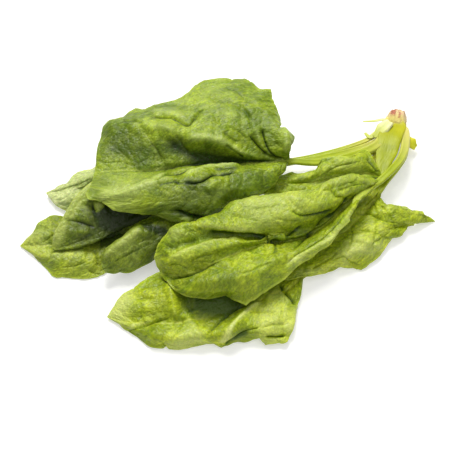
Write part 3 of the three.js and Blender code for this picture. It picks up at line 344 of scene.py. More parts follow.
              light_shade_bands=[([(217, 343), (228, 332.5), (240, 321.5), (252, 309.5)], 2.0, 0.6), ([(223, 345), (235, 337), (250, 331)], 2.2, -0.6), ([(279, 284), (285, 294), (294, 303)], 1.8, -1.0), ([(265, 336), (275, 336.5), (286, 335.5)], 1.6, -1.1), ([(194, 298), (208, 301), (222, 303), (242, 306)], 6.5, -1.3), ([(186, 313), (198, 309), (210, 311)], 1.4, -0.6), ([(228, 318), (236, 312), (246, 311)], 1.2, 0.6), ([(218, 341), (232, 329), (248, 314), (262, 303)], 1.0, 0.6), ([(128, 328), (142, 325), (156, 320)], 1.6, 0.5)],
              light_shade_spots=[(116, 306, 12, 1.1), (128, 296, 8, 0.5), (146, 303, 18, -0.15), (205, 303, 26, -0.75), (228, 301, 18, -0.6), (190, 330, 12, 0.4), (158, 333, 8, -0.35), (240, 334, 8, -0.3), (270, 318, 16, 0.6), (276, 303, 9, 0.0), (273, 341, 8, 0.4), (195, 342, 14, 0.45), (176, 345, 10, 0.5), (225, 330, 8, 0.35), (255, 300, 10, -0.2)]),
    "B": dict(rib=0.4, seed=61, veins=7, pucker=0.38, cell=9.0, quilt=0.5, wave=0.8, ripple=1.0, ripple_mm=15, ragged=0.6, crumple=0.41,
              far=[(110, 160), (100, 165), (92, 169), (85, 171), (78, 174), (72, 178.5), (67, 184), (60, 187), (52, 190)],
              near=[(80, 212), (68, 211), (61, 208), (55, 203), (50, 198)],
              folds=[
                  ([(60, 190), (70, 187), (80, 184), (92, 178)], -0.7, 2.4, "crease"),
                  ([(56, 202), (68, 197), (78, 192), (84, 186)], -0.4, 2.6, "crease"),
                  ([(64, 195), (76, 189), (88, 183)], 1.0, 3.0, "roof"),
                  ([(48, 194), (53, 199), (60, 205)], 1.0, 2.6, "roof"),
              ],
              light_shade_bands=[([(70, 189), (78, 185), (86, 181), (92, 178)], 1.2, -0.35), ([(47, 194), (53, 200), (62, 207)], 1.8, 0.5)],
              light_shade_spots=[(60, 190, 10, 0.3), (88, 178, 12, 0.1), (64, 205, 8, 0.3), (85, 195, 10, -0.3)]),
    "C1": dict(seed=73, veins=7, pucker=0.36, cell=9.0, quilt=0.5, wave=0.9, ripple=0.9, ripple_mm=15, ragged=0.7, crumple=0.30,
               far=[(90, 220), (76, 218), (64, 218), (58, 217.5), (50, 216.5), (46, 219), (42, 222), (36, 229), (28, 238)],
               near=[(120, 268), (108, 271), (103, 275), (98, 277.5), (85, 279), (70, 278.5), (62, 277), (57, 278), (52, 276), (48, 270), (42, 263), (36, 257), (28, 250)],
               folds=[
                   ([(50, 217), (48, 226), (44, 236), (36, 244)], 0.6, 3.6, "roof"),
                   ([(40, 244), (50, 238), (58, 230)], -0.5, 2.6, "crease"),
                   ([(88, 270), (95, 274), (103, 276)], -1.5, 2.2, "crease"),
                   ([(46, 258), (58, 256), (72, 254), (88, 252)], 1.1, 4, "roof"),
                   ([(60, 268), (74, 266), (88, 262)], -0.9, 2.6, "crease"),
                   ([(94, 250), (97, 258), (98, 268)], -1.6, 3, "crease"),
                   ([(46, 264), (50, 258), (52, 252)], -1.0, 2.6, "crease"),
               ],
              light_shade_bands=[([(100, 236), (112, 238), (128, 240)], 9.0, -1.2), ([(44, 246), (60, 251), (80, 250)], 2.0, -0.3)],
              light_shade_spots=[(34, 238, 12, 0.3), (56, 222, 7, -0.35), (100, 244, 9, -0.6), (104, 262, 6, -0.3), (42, 254, 8, 0.15), (75, 264, 14, 0.05)]),
    "C3": dict(rib=0.35, seed=87, veins=6, pucker=0.45, cell=8.0, quilt=0.4, wave=0.7, ripple=0.6, ripple_mm=15, ragged=0.5, crumple=0.41,
               far=[(170, 232), (160, 230), (152, 226), (142, 225), (134, 228.5), (128, 235), (122, 240.5), (115, 245.5), (108, 249), (103, 254)],
               near=[(160, 254), (153, 259), (150, 261.5), (142, 266), (135, 270), (128, 272.5), (120, 272), (112, 273.5), (105, 272.5), (101.5, 268)],
               folds=[
                   ([(104, 257), (112, 250), (120, 244), (128, 238), (136, 232), (146, 229)], 1.0, 3.0, "roof"),
                   ([(130, 236), (142, 233), (156, 236)], 0.9, 3.5, "roof"),
                   ([(112, 262), (126, 256), (142, 248), (156, 242)], -0.4, 3, "crease"),
                   ([(118, 270), (130, 264), (142, 258)], 0.8, 3.5, "roof"),
               ],
              light_shade_bands=[([(104, 260), (109, 252.5), (118, 246), (129, 238), (141, 230)], 1.8, 0.9), ([(112, 262), (126, 255), (142, 246)], 1.0, -0.4), ([(140, 225), (150, 228), (170, 233)], 5.0, -1.1)],
              light_shade_spots=[(118, 250, 9, 0.25), (128, 240, 8, 0.3), (128, 258, 16, 0.12), (145, 240, 10, -0.1), (155, 245, 10, -0.4)]),
    "C2": dict(rib=0.3, seed=97, veins=7, pucker=0.55, cell=9.0, quilt=0.5, wave=0.8, ripple=0.7, ripple_mm=15, ragged=0.6, crumple=0.61,
               far=[(112, 174), (100, 177), (92, 182), (84, 189), (76, 199), (68, 211), (60, 224), (54, 238), (51.5, 247)],
               near=[(130, 224), (117, 226), (105, 229.5), (98, 232), (90, 236), (80, 241), (70, 245.5), (60, 250)],
               folds=[
                   ([(97, 182), (88, 191), (79, 202), (71, 214), (63, 227), (57, 239), (54, 249)], 2.0, 4.0, "roof"),
                   ([(86, 196), (78, 207), (70, 220), (64, 232)], -0.4, 3, "crease"),
                   ([(62, 222), (74, 221), (86, 224), (96, 228)], -1.5, 2.8, "crease"),
                   ([(66, 232), (78, 232), (90, 232)], 0.9, 3.5, "roof"),
                   ([(58, 246), (68, 242), (80, 238), (92, 233)], -0.4, 2.6, "crease"),
                   ([(80, 205), (90, 206), (98, 212)], -1.0, 2.8, "crease"),
                   ([(92, 204), (98, 203), (105, 207)], 1.6, 3, "roof"),
               ],
              light_shade_bands=[([(96, 179), (88, 189), (79, 201), (71, 213), (63, 226), (57, 238), (53, 249)], 4.2, 1.0), ([(98, 213), (112, 216), (130, 219), (160, 222)], 11.0, -1.5), ([(57, 249), (68, 245), (82, 239), (94, 233)], 1.3, -0.35), ([(62, 223), (74, 222), (86, 225), (96, 229)], 1.0, -0.7), ([(97, 204), (97.5, 208), (99, 212)], 2.6, 1.3), ([(103, 204), (100, 208)], 2.0, 0.9), ([(93, 203), (93.5, 210), (96.5, 216), (102, 212.5), (108, 207)], 1.2, -1.2)],
              light_shade_spots=[(88, 190, 5, 0.6), (78, 202, 5, 0.6), (70, 214, 5, 0.6), (62, 228, 5, 0.55), (56, 241, 5, 0.45), (85, 240, 8, -0.4), (95, 222, 12, -0.4), (84, 214, 8, -0.1), (115, 220, 16, -0.7)]),
}
WORLD = 0.27
FLOOR_GLOW = 0.42
LIGHTS = [
    ("key", (-0.15, 0.80, 1.20), (0, 0, 0), 0.65, 23.0, (1.0, 0.985, 0.93)),
    ("top", (0.15, -0.2, 1.6), (0, 0, 0), 1.3, 6.0, (1.0, 0.99, 0.95)),
    ("fill", (0.6, -0.9, 0.9), (0, 0, 0), 1.2, 3.0, (1.0, 1.0, 0.97)),
]


# ------------------------------------------------------------------ curves, noise
def weights(u, n):
    u = np.clip(np.asarray(u, float), 0, 1) * (n - 1)
    i = np.minimum(u.astype(int), n - 2)
    f = u - i
    w = np.zeros((len(u), n + 2))
    r = np.arange(len(u))
    w[r, i] += -0.5 * f + f ** 2 - 0.5 * f ** 3
    w[r, i + 1] += 1 - 2.5 * f ** 2 + 1.5 * f ** 3
    w[r, i + 2] += 0.5 * f + 2 * f ** 2 - 1.5 * f ** 3
    w[r, i + 3] += -0.5 * f ** 2 + 0.5 * f ** 3
    m = w[:, 1:-1].copy()
    m[:, 0] += 2 * w[:, 0]
    m[:, 1] -= w[:, 0]
    m[:, -1] += 2 * w[:, -1]
    m[:, -2] -= w[:, -1]
    return m


def smooth(a, b, x):
    t = np.clip((x - a) / (b - a), 0, 1)
    return t * t * (3 - 2 * t)


def hash2(ix, iy, seed):
    h = (ix.astype(np.int64) * 374761393 + iy.astype(np.int64) * 668265263 + seed * 1442695041) & 0x7FFFFFFF
    h = ((h ^ (h >> 13)) * 1274126177) & 0x7FFFFFFF
    h = (h ^ (h >> 16)) & 0xFFFFFF
    return h / float(0xFFFFFF)


def noise2(x, y, seed):
    """value noise, about -1 to 1"""
    ix, iy = np.floor(x), np.floor(y)
    fx, fy = x - ix, y - iy
    fx = fx ** 3 * (fx * (fx * 6 - 15) + 10)
    fy = fy ** 3 * (fy * (fy * 6 - 15) + 10)
    a, b = hash2(ix, iy, seed), hash2(ix + 1, iy, seed)
    c, d = hash2(ix, iy + 1, seed), hash2(ix + 1, iy + 1, seed)
    return 2 * ((a * (1 - fx) + b * fx) * (1 - fy) + (c * (1 - fx) + d * fx) * fy) - 1


def fbm(x, y, seed, octaves=3):
    out, a, n = 0.0, 1.0, 0.0
    for k in range(octaves):
        out = out + a * noise2(x * 2 ** k + 7.3 * k, y * 2 ** k - 3.1 * k, seed + 17 * k)
        n += a
        a *= 0.5
    return out / n


def cells(x, y, seed):
    """jittered cells of unit size: distance to the nearest centre, and to the nearest border"""
    ix, iy = np.floor(x), np.floor(y)
    f1 = np.full(x.shape, 9.0)
    f2 = np.full(x.shape, 9.0)
    for dx in (-1, 0, 1):
        for dy in (-1, 0, 1):
            cx, cy = ix + dx, iy + dy
            px = cx + 0.5 + 0.42 * (2 * hash2(cx, cy, seed) - 1)
            py = cy + 0.5 + 0.42 * (2 * hash2(cx, cy, seed + 91) - 1)
            d = np.hypot(px - x, py - y)
            f2 = np.minimum(f2, np.maximum(f1, d))
            f1 = np.minimum(f1, d)
    return f1, f2 - f1


def polyline_distance(uv, line):
    """distance from points to a polyline, and the place along it (0..1)"""
    line = np.asarray(line, float)
    seg = np.linalg.norm(np.diff(line, axis=0), axis=1)
    start = np.concatenate([[0], np.cumsum(seg)])
    best = np.full(uv.shape[:-1], 1e9)
    where = np.zeros(uv.shape[:-1])
    side = np.zeros(uv.shape[:-1])
    for k in range(len(line) - 1):
        a, d = line[k], line[k + 1] - line[k]
        w = uv - a
        t = np.clip((w @ d) / (d @ d), 0, 1)
        r = w - t[..., None] * d
        e = np.sqrt((r ** 2).sum(-1))
        s = np.sign(d[0] * w[..., 1] - d[1] * w[..., 0])
        m = e < best
        best = np.where(m, e, best)
        where = np.where(m, (start[k] + t * seg[k]) / start[-1], where)
        side = np.where(m, s, side)
    return best, where, side


def finer(line, n=40):
    line = np.asarray(line, float)
    return weights(np.linspace(0, 1, n), len(line)) @ line


def grid_normals(p):
    ds = np.gradient(p, axis=0)
    du = np.gradient(p, axis=1)
    n = np.cross(ds, du)
    n[..., :] *= np.where(n[..., 2:3] < 0, -1.0, 1.0) if n[..., 2].mean() < 0 else 1.0
    ln = np.linalg.norm(n, axis=-1, keepdims=True)
    n = n / np.maximum(ln, 1e-9)
    for e, f in ((0, 2), (1, 2), (-1, -3), (-2, -3)):
        n[e] = n[f]
    return n


def blur(a, times=1):
    for _ in range(times):
        b = np.pad(a, ((1, 1), (0, 0)) + ((0, 0),) * (a.ndim - 2), mode="edge")
        a = 0.25 * b[:-2] + 0.5 * b[1:-1] + 0.25 * b[2:]
        b = np.pad(a, ((0, 0), (1, 1)) + ((0, 0),) * (a.ndim - 2), mode="edge")
        a = 0.25 * b[:, :-2] + 0.5 * b[:, 1:-1] + 0.25 * b[:, 2:]
    return a


# ------------------------------------------------------------------ the sheet of one leaf
FOLD = 1.3


def sheet(name):
    leaf, look = LEAVES[name], LOOKS[name]
    big = look.get("big", False)
    R, C = (240, 200) if big else (176, 132)
    rows = leaf["across"]
    m = len(rows[0])
    net = np.array([[leaf["base"]] * m] + rows + [[leaf["tip"]] * m], float)
    n = len(net)
    s = np.linspace(0, 1, R)
    s = s - 0.055 * np.sin(2 * np.pi * s) / (2 * np.pi) * 2
    u = np.linspace(0, 1, C)
    a, b = weights(s, n), weights(u, m)
    world = lift(net)
    P = np.einsum("ai,bj,ijk->abk", a, b, world)
    um = leaf["midrib"] / (m - 1)
    # margin follows its drawn outline
    UV = flat_of(P)
    for side, e in (("far", 0), ("near", -1)):
        line = look.get(side)
        if line is None:
            continue
        line = np.asarray(line, float)
        edge = UV[:, e]
        cum = np.concatenate([[0], np.cumsum(np.linalg.norm(np.diff(edge, axis=0), axis=1))])
        at, off = [0.0], [np.zeros(2)]
        for q in line:
            d = np.linalg.norm(edge - q, axis=1) + 0.0
            lo = np.searchsorted(cum, at[-1] * cum[-1]) if len(at) > 1 else 0
            d[: lo + 1] += 1e6
            k = int(d.argmin())
            at.append(cum[k] / cum[-1])
            off.append(q - edge[k])
        at.append(1.0 + 1e-6)
        off.append(np.zeros(2))
        at, off = np.array(at), np.array(off)
        c = cum / cum[-1]
        dx, dy = np.interp(c, at, off[:, 0]), np.interp(c, at, off[:, 1])
        reach = look.get("edge_reach", 0.5)
        fall = np.clip(1 - (u if e == 0 else 1 - u) / (reach * (um if e == 0 else 1 - um)), 0, 1) ** 1.6
        shift = np.stack([dx, dy], -1)[:, None, :] * fall[None, :, None]
        z = P[..., 2:3] - SHIFT[2]
        P = lift(np.concatenate([UV + shift, z], -1))
        UV = flat_of(P)
    # lengths on the sheet, in millimetres
    im = int(round(um * (C - 1)))
    mid = P[:, im]
    L = np.concatenate([[0], np.cumsum(np.linalg.norm(np.diff(mid, axis=0), axis=1))])
    step = np.linalg.norm(np.diff(P, axis=1), axis=2)
    cum = np.concatenate([np.zeros((R, 1)), np.cumsum(step, axis=1)], 1)
    Y = cum - cum[:, im:im + 1]
    wide_far, wide_near = -Y[:, :1], Y[:, -1:]
    half = np.where(Y < 0, wide_far, wide_near)
    T = np.clip(np.abs(Y) / np.maximum(half, 0.05), 0, 1)
    X = np.broadcast_to(L[:, None], Y.shape)
    S = np.broadcast_to(s[:, None], Y.shape)
    ps = np.linalg.norm(np.gradient(P, axis=0), axis=2) / np.maximum(np.gradient(s)[:, None], 1e-6)
    far = Y < 0
    seed = look["seed"]
    # side veins: leave the midrib and sweep towards the tip
    lat = np.full(Y.shape, 99.0)
    nv = look.get("veins", 7)
    sweep = look.get("sweep", 0.17)
    for side in (0, 1):
        for k in range(nv):
            s0 = 0.015 + 0.86 * ((k + 0.25 + 0.45 * side) / nv) ** 1.12 + 0.012 * math.sin(5.1 * k + seed + 2 * side)
            back = -0.06 * max(0.0, 1 - k / 2.0)
            curve = s0 + back * T + sweep * (1 - 0.35 * k / nv) * T ** 1.35 + 0.014 * np.sin(4.5 * T + k + seed) \
                + 0.022 * T * noise2(T * 3.3 + k * 5.1, np.full(T.shape, side * 4.0 + k), seed + 13)
            ca = 0.80
            d = np.abs(S - curve) * np.clip(ps, 20, 260) * ca
            d = d + 40 * smooth(0.86, 1.02, T)
            lat = np.where(far == bool(side), np.minimum(lat, d), lat)
    rib = np.abs(Y)
    size_fall = smooth(0, 0.10, S) * smooth(0, 0.07, 1 - S)
    N = grid_normals(P)
    # puckers between the veins
    q = look.get("pucker", 1.0)
    cs = look.get("cell", 9.0)
    wx = X / cs + 0.35 * noise2(X / 14, Y / 14, seed + 3)
    wy = Y / cs + 0.35 * noise2(X / 14 + 9, Y / 14, seed + 5)
    f1, border = cells(wx, wy, seed)
    cushion = (1 - np.exp(-border / 0.16)) * (1.15 - 0.75 * f1)
    g1, border2 = cells(wx * 2.3 + 5, wy * 2.3, seed + 40)
    cushion2 = (1 - np.exp(-border2 / 0.2)) * (1.1 - 0.6 * g1)
    strength = 0.55 + 0.45 * fbm(X / 30, Y / 30, seed + 11)
    vein_dip = np.exp(-(lat / 1.6) ** 2)
    g3, border3 = cells(X / 3.3 + 0.5 * noise2(X / 6, Y / 6, seed + 8), Y / 3.3, seed + 77)
    h = q * (1.0 * cushion * np.clip(strength, 0.15, 1.2) + 0.42 * cushion2 + 0.12 * (1 - np.exp(-border3 / 0.25))) * (1 - 0.7 * vein_dip)
    h = h + look.get("quilt", 0.8) * (1 - np.exp(-lat / 2.2)) * (0.7 + 0.3 * T)
    h = h - 0.9 * look.get("rib", 1.0) * np.exp(-(rib / 1.8) ** 2) * (1 - 0.6 * S)
    # crest is painted light and shade taken from the geometry: painted shade along crumple creases and creased folds,
    # painted highlight on raised folds
    crest = np.zeros(Y.shape)
    cr = look.get("crumple", 0.6)
    for scale, amp, off in ((17.0, 1.0, 0), (9.0, 0.6, 50)):
        n = noise2(X / scale + 0.5 * noise2(X / 8, Y / 8, seed + off), Y / scale + 0.5 * noise2(X / 8 + 4, Y / 8, seed + off), seed + 201 + off)
        line = np.exp(-np.abs(n) / 0.075) * smooth(-0.5, 0.5, noise2(X / 21, Y / 21, seed + 233 + off))
        h = h - cr * amp * line
        crest = crest - 0.45 * cr * amp * line
    # slow waves and a rippled margin
    wv = look.get("wave", 1.4)
    h = h + wv * fbm(X / 34 + seed, Y / 34, seed + 21, 2) * (0.35 + 0.65 * T)
    rip = look.get("ripple", 1.6)
    lam = look.get("ripple_mm", 19.0)
    ph = 1.9 * noise2(X / 26, far * 3.0 + 0.5, seed + 31)
    h = h + rip * smooth(0.62, 1.0, T) * np.sin(2 * np.pi * X / lam + 2.6 * ph + 2.0 * far) * (0.55 + 0.45 * noise2(X / 22, far * 7.0, seed + 37))
    h = h * size_fall
    # folds drawn for this leaf
    for line, height, width, kind in look.get("folds", []):
        fl = finer(line, 30)
        d, where, sd = polyline_distance(UV, fl)
        wob = 1 + 0.25 * noise2(where * 7, where * 0 + seed, seed + 51)
        ends = smooth(0, 0.18, where) * smooth(0, 0.18, 1 - where)
        if kind == "ridge":
            prof = np.exp(-(d / (width * wob)) ** 2)
        elif kind == "crease":
            prof = np.exp(-d / (0.42 * width * wob))
        else:  # roof: a sharp crest with straight slopes
            prof = np.exp(-(np.sqrt((d / (width * wob)) ** 2 + 0.03) - 0.17) ** 1.25)
        h = h + FOLD * height * prof * ends
        # painted highlight on raised folds, painted shade in creases
        crest = crest + (0.20 if height > 0 else 0.36) * height * prof ** 1.6 * ends
    painted_light_shade = crest
    # painted light and shade: bands and spots darken the leaf where shade falls and lighten it where light falls
    for line, width, amt in look.get("light_shade_bands", []):
        d, where, sd = polyline_distance(UV, finer(line, 30))
        painted_light_shade = painted_light_shade + amt * np.exp(-(d / (width * (1 + 0.3 * noise2(where * 9, where * 0 + seed, seed + 71)))) ** 2) * smooth(0, 0.15, where) * smooth(0, 0.15, 1 - where)
    for cx, cy, rad, amt in look.get("light_shade_spots", []):
        dd = ((UV[..., 0] - cx) ** 2 + (UV[..., 1] - cy) ** 2) / (rad * (1 + 0.25 * noise2(X / 13, Y / 13, seed + 300))) ** 2
        painted_light_shade = painted_light_shade + amt * np.exp(-0.5 * dd)
    P2 = P + N * h[..., None]
    # a little in-plane raggedness at the margin
    tang = np.gradient(P2, axis=1)
    tang /= np.maximum(np.linalg.norm(tang, axis=-1, keepdims=True), 1e-9)
    out = np.where(far, -1.0, 1.0)[..., None] * tang
    rag = look.get("ragged", 0.7)
    jag = rag * (0.6 * noise2(X / 7.0, far * 5.0, seed + 61) + 0.4 * noise2(X / 3.1, far * 5.0, seed + 67))
    P2 = P2 + out * (jag * smooth(0.75, 1.0, T) * size_fall)[..., None]
    return dict(name=name, P=P2, UV=UV, X=X.copy(), Y=Y, T=T, S=S.copy(), lat=lat, rib=rib, half=half, im=im, seed=seed, painted_light_shade=painted_light_shade,
                look=look, border=border, R=R, C=C)


sheets = {k: sheet(k) for k in LEAVES}

# ------------------------------------------------------------------ stalk paths
AX = np.array([-0.255646, -0.966348, 0.028581])
CU = np.array([0.966743, -0.255751, 0.000000])
CW = np.array([0.007310, 0.027631, 0.999591])
CROOT, CFRONT = [lift(np.array(c)) for c in CROWN]


def stalk_path(name):
    leaf = LEAVES[name]
    x, y = leaf["at"]
    c = CFRONT
    pts = [c - AX * 3.5 + 0.62 * (x * CU + y * CW), c + x * CU + y * CW + AX * 0.4, c + 1.06 * (x * CU + y * CW) + AX * 4.5]
    pts += [lift(np.array(p)) for p in leaf["stalk"]]
    sh = sheets[name]
    pts.append(lift(np.array(leaf["base"])))
    return np.array(pts)


# ------------------------------------------------------------------ keep the pieces clear of each other
CELL = 1.6
X0, Y0, NX, NY = -150.0, -115.0, 190, 150


def raster(p, top=True):
    z = np.full((NX, NY), -1e3 if top else 1e3)
    ix = np.clip(((p[:, 0] - X0) / CELL).astype(int), 0, NX - 1)
    iy = np.clip(((p[:, 1] - Y0) / CELL).astype(int), 0, NY - 1)
    (np.maximum if top else np.minimum).at(z, (ix, iy), p[:, 2])
    return z


def spread_max(z, top=True):
    q = np.pad(z, 1, mode="edge")
    f = np.maximum if top else np.minimum
    out = z
    for dx in (0, 1, 2):
        for dy in (0, 1, 2):
            if (dx, dy) != (1, 1) and (dx == 1 or dy == 1):
                out = f(out, q[dx:dx + NX, dy:dy + NY])
    return out


def look_up(z, p):
    ix = np.clip(((p[..., 0] - X0) / CELL).astype(int), 0, NX - 1)
    iy = np.clip(((p[..., 1] - Y0) / CELL).astype(int), 0, NY - 1)
    return z[ix, iy]


ORDER = [("E", "D"), ("F", "D"), ("E", "F"), ("G", "D"), ("F", "G"), ("C1", "B"), ("B", "C2"), ("C1", "C2"), ("B", "C3"), ("C1", "C3"),
         ("C2", "C3"), ("G", "A"), ("B", "A"), ("C1", "A"), ("C2", "A"), ("C3", "A"), ("C1", "D"), ("C2", "D"), ("C3", "D"), ("A", "D")]
OVER = {"A": ["G", "D"], "B": ["A", "G", "D", "C2"], "C2": ["A", "G", "D"], "C3": ["A", "G", "D"],
        "C1": ["A", "G", "D", "C2", "C3", "B"], "E": ["F", "D", "G", "A"], "G": ["D"], "D": [], "F": ["D", "G"]}
FLOOR_MM = 0.75
GAP_MM = 0.9


def push(sh, need, sign=1.0):
    need = np.maximum(need, 0)
    if need.max() <= 0:
        return
    soft = need
    for _ in range(10):
        soft = np.maximum(need, blur(soft, 1))
    sh["P"][..., 2] += sign * soft


def stalk_samples(name):
    pts = stalk_path(name)
    t = np.linspace(0, 1, 160)
    c = weights(t, len(pts)) @ pts
    a, b, e = LEAVES[name]["radii"]
    r = np.interp(t, [0, 0.12, 0.35, 0.8, 1], [a, a, b, (b + e) / 2, e])
    return c, r


for sweep_no in range(3):
    for k in LEAVES:
        c, r = stalk_samples(k)
        for b in LEAVES:
            if b == k:
                continue
            P = sheets[b]["P"]
            lo, hi = P.reshape(-1, 3).min(0) - 4, P.reshape(-1, 3).max(0) + 4
            sel = ((c > lo) & (c < hi))[:, :2].all(1)
            if not sel.any():
                continue
            flat = P.reshape(-1, 3)
            d = np.sqrt(((flat[:, None, :2] - c[None, sel, :2]) ** 2).sum(-1))
            j = d.argmin(1)
            dm = d[np.arange(len(d)), j]
            cc, rr = c[sel][j], r[sel][j]
            hgt = np.sqrt(np.clip(rr ** 2 - dm ** 2, 0, None)) * 0.9 + 0.7 * (dm < rr + 0.5)
            if b in OVER[k]:
                need = np.where(dm < rr + 0.5, cc[:, 2] + hgt - flat[:, 2], 0)
                push(sheets[b], need.reshape(P.shape[:2]))
            else:
                need = np.where(dm < rr + 0.5, flat[:, 2] - (cc[:, 2] - hgt), 0)
                need = np.minimum(need, np.maximum(flat[:, 2] - FLOOR_MM, 0))
                push(sheets[b], need.reshape(P.shape[:2]), -1.0)
    for lo, hi in ORDER:
        a, b = sheets[lo], sheets[hi]
        if (lo, hi) == ("A", "D"):      # here the lower leaf gives way, so the front one keeps its place
            under = spread_max(raster(b["P"].reshape(-1, 3), False), False)
            at = look_up(under, a["P"])
            need = np.where(at < 900, a["P"][..., 2] + GAP_MM - at, 0)
            push(a, np.where(need > 14, 0, need), -1.0)
            continue
        top = spread_max(raster(a["P"].reshape(-1, 3), True), True)
        need = look_up(top, b["P"]) + GAP_MM - b["P"][..., 2]
        need = np.where(look_up(top, b["P"]) > -900, need, 0)
        need = np.where(need > 9, 0, need)
        push(b, need)
    for k in LEAVES:
        z = sheets[k]["P"][..., 2]
        push(sheets[k], FLOOR_MM - z)

# ------------------------------------------------------------------ materials
def rgb(r, g, b):
    """display colour, 0 to 255, to linear"""
    f = lambda c: c / 12.92 if c <= 0.04045 else ((c + 0.055) / 1.055) ** 2.4
    return tuple(f(c / 255.0) for c in (r, g, b)) + (1.0,)


class Nodes:
    def __init__(self, name):
        self.mat = bpy.data.materials.new(name)
        self.mat.use_nodes = True
        self.t = self.mat.node_tree
        self.bsdf = self.t.nodes["Principled BSDF"]

    def new(self, kind, **props):
        n = self.t.nodes.new(kind)
        for k, v in props.items():
            setattr(n, k, v)
        return n

    def link(self, a, b):
        self.t.links.new(a, b)

    def attr(self, name):
        return self.new("ShaderNodeAttribute", attribute_name=name)

    def math(self, op, a, b=None, clamp=False):
        n = self.new("ShaderNodeMath", operation=op, use_clamp=clamp)
        for i, v in enumerate((a, b)):
            if v is None:
                continue
            if isinstance(v, (int, float)):
                n.inputs[i].default_value = v
            else:
                self.link(v, n.inputs[i])
        return n.outputs[0]

    def mix(self, fac, a, b, blend="MIX"):
        n = self.new("ShaderNodeMix", data_type="RGBA", blend_type=blend)
        for sock, v in ((n.inputs[0], fac), (n.inputs[6], a), (n.inputs[7], b)):
            if isinstance(v, (int, float)):
                sock.default_value = v
            elif isinstance(v, tuple):
                sock.default_value = v
            else:
                self.link(v, sock)
        return n.outputs[2]

    def ramp(self, fac, stops):
        n = self.new("ShaderNodeMapRange", interpolation_type="SMOOTHSTEP")
        self.link(fac, n.inputs[0])
        n.inputs[1].default_value, n.inputs[2].default_value = stops[0]
        n.inputs[3].default_value, n.inputs[4].default_value = stops[1]
        return n.outputs[0]

    def noise(self, vec, scale, detail=3.0, rough=0.55, distort=0.0):
        n = self.new("ShaderNodeTexNoise")
        self.link(vec, n.inputs["Vector"])
        n.inputs["Scale"].default_value = scale
        n.inputs["Detail"].default_value = detail
        n.inputs["Roughness"].default_value = rough
        n.inputs["Distortion"].default_value = distort
        return n.outputs[0]

    def edge(self, vec, scale, warp=None):
        n = self.new("ShaderNodeTexVoronoi", feature="DISTANCE_TO_EDGE")
        if warp is not None:
            add = self.new("ShaderNodeVectorMath", operation="ADD")
            mul = self.new("ShaderNodeVectorMath", operation="SCALE")
            tex = self.new("ShaderNodeTexNoise")
            self.link(vec, tex.inputs["Vector"])
            tex.inputs["Scale"].default_value = warp[0]
            self.link(tex.outputs[1], mul.inputs[0])
            mul.inputs[3].default_value = warp[1]
            self.link(vec, add.inputs[0])
            self.link(mul.outputs[0], add.inputs[1])
            vec = add.outputs[0]
        self.link(vec, n.inputs["Vector"])
        n.inputs["Scale"].default_value = scale
        return n.outputs[0]

    def bump(self, height, dist, strength=1.0, normal=None):
        n = self.new("ShaderNodeBump")
        n.inputs["Strength"].default_value = strength
        n.inputs["Distance"].default_value = dist
        self.link(height, n.inputs["Height"])
        if normal is not None:
            self.link(normal, n.inputs["Normal"])
        return n.outputs[0]
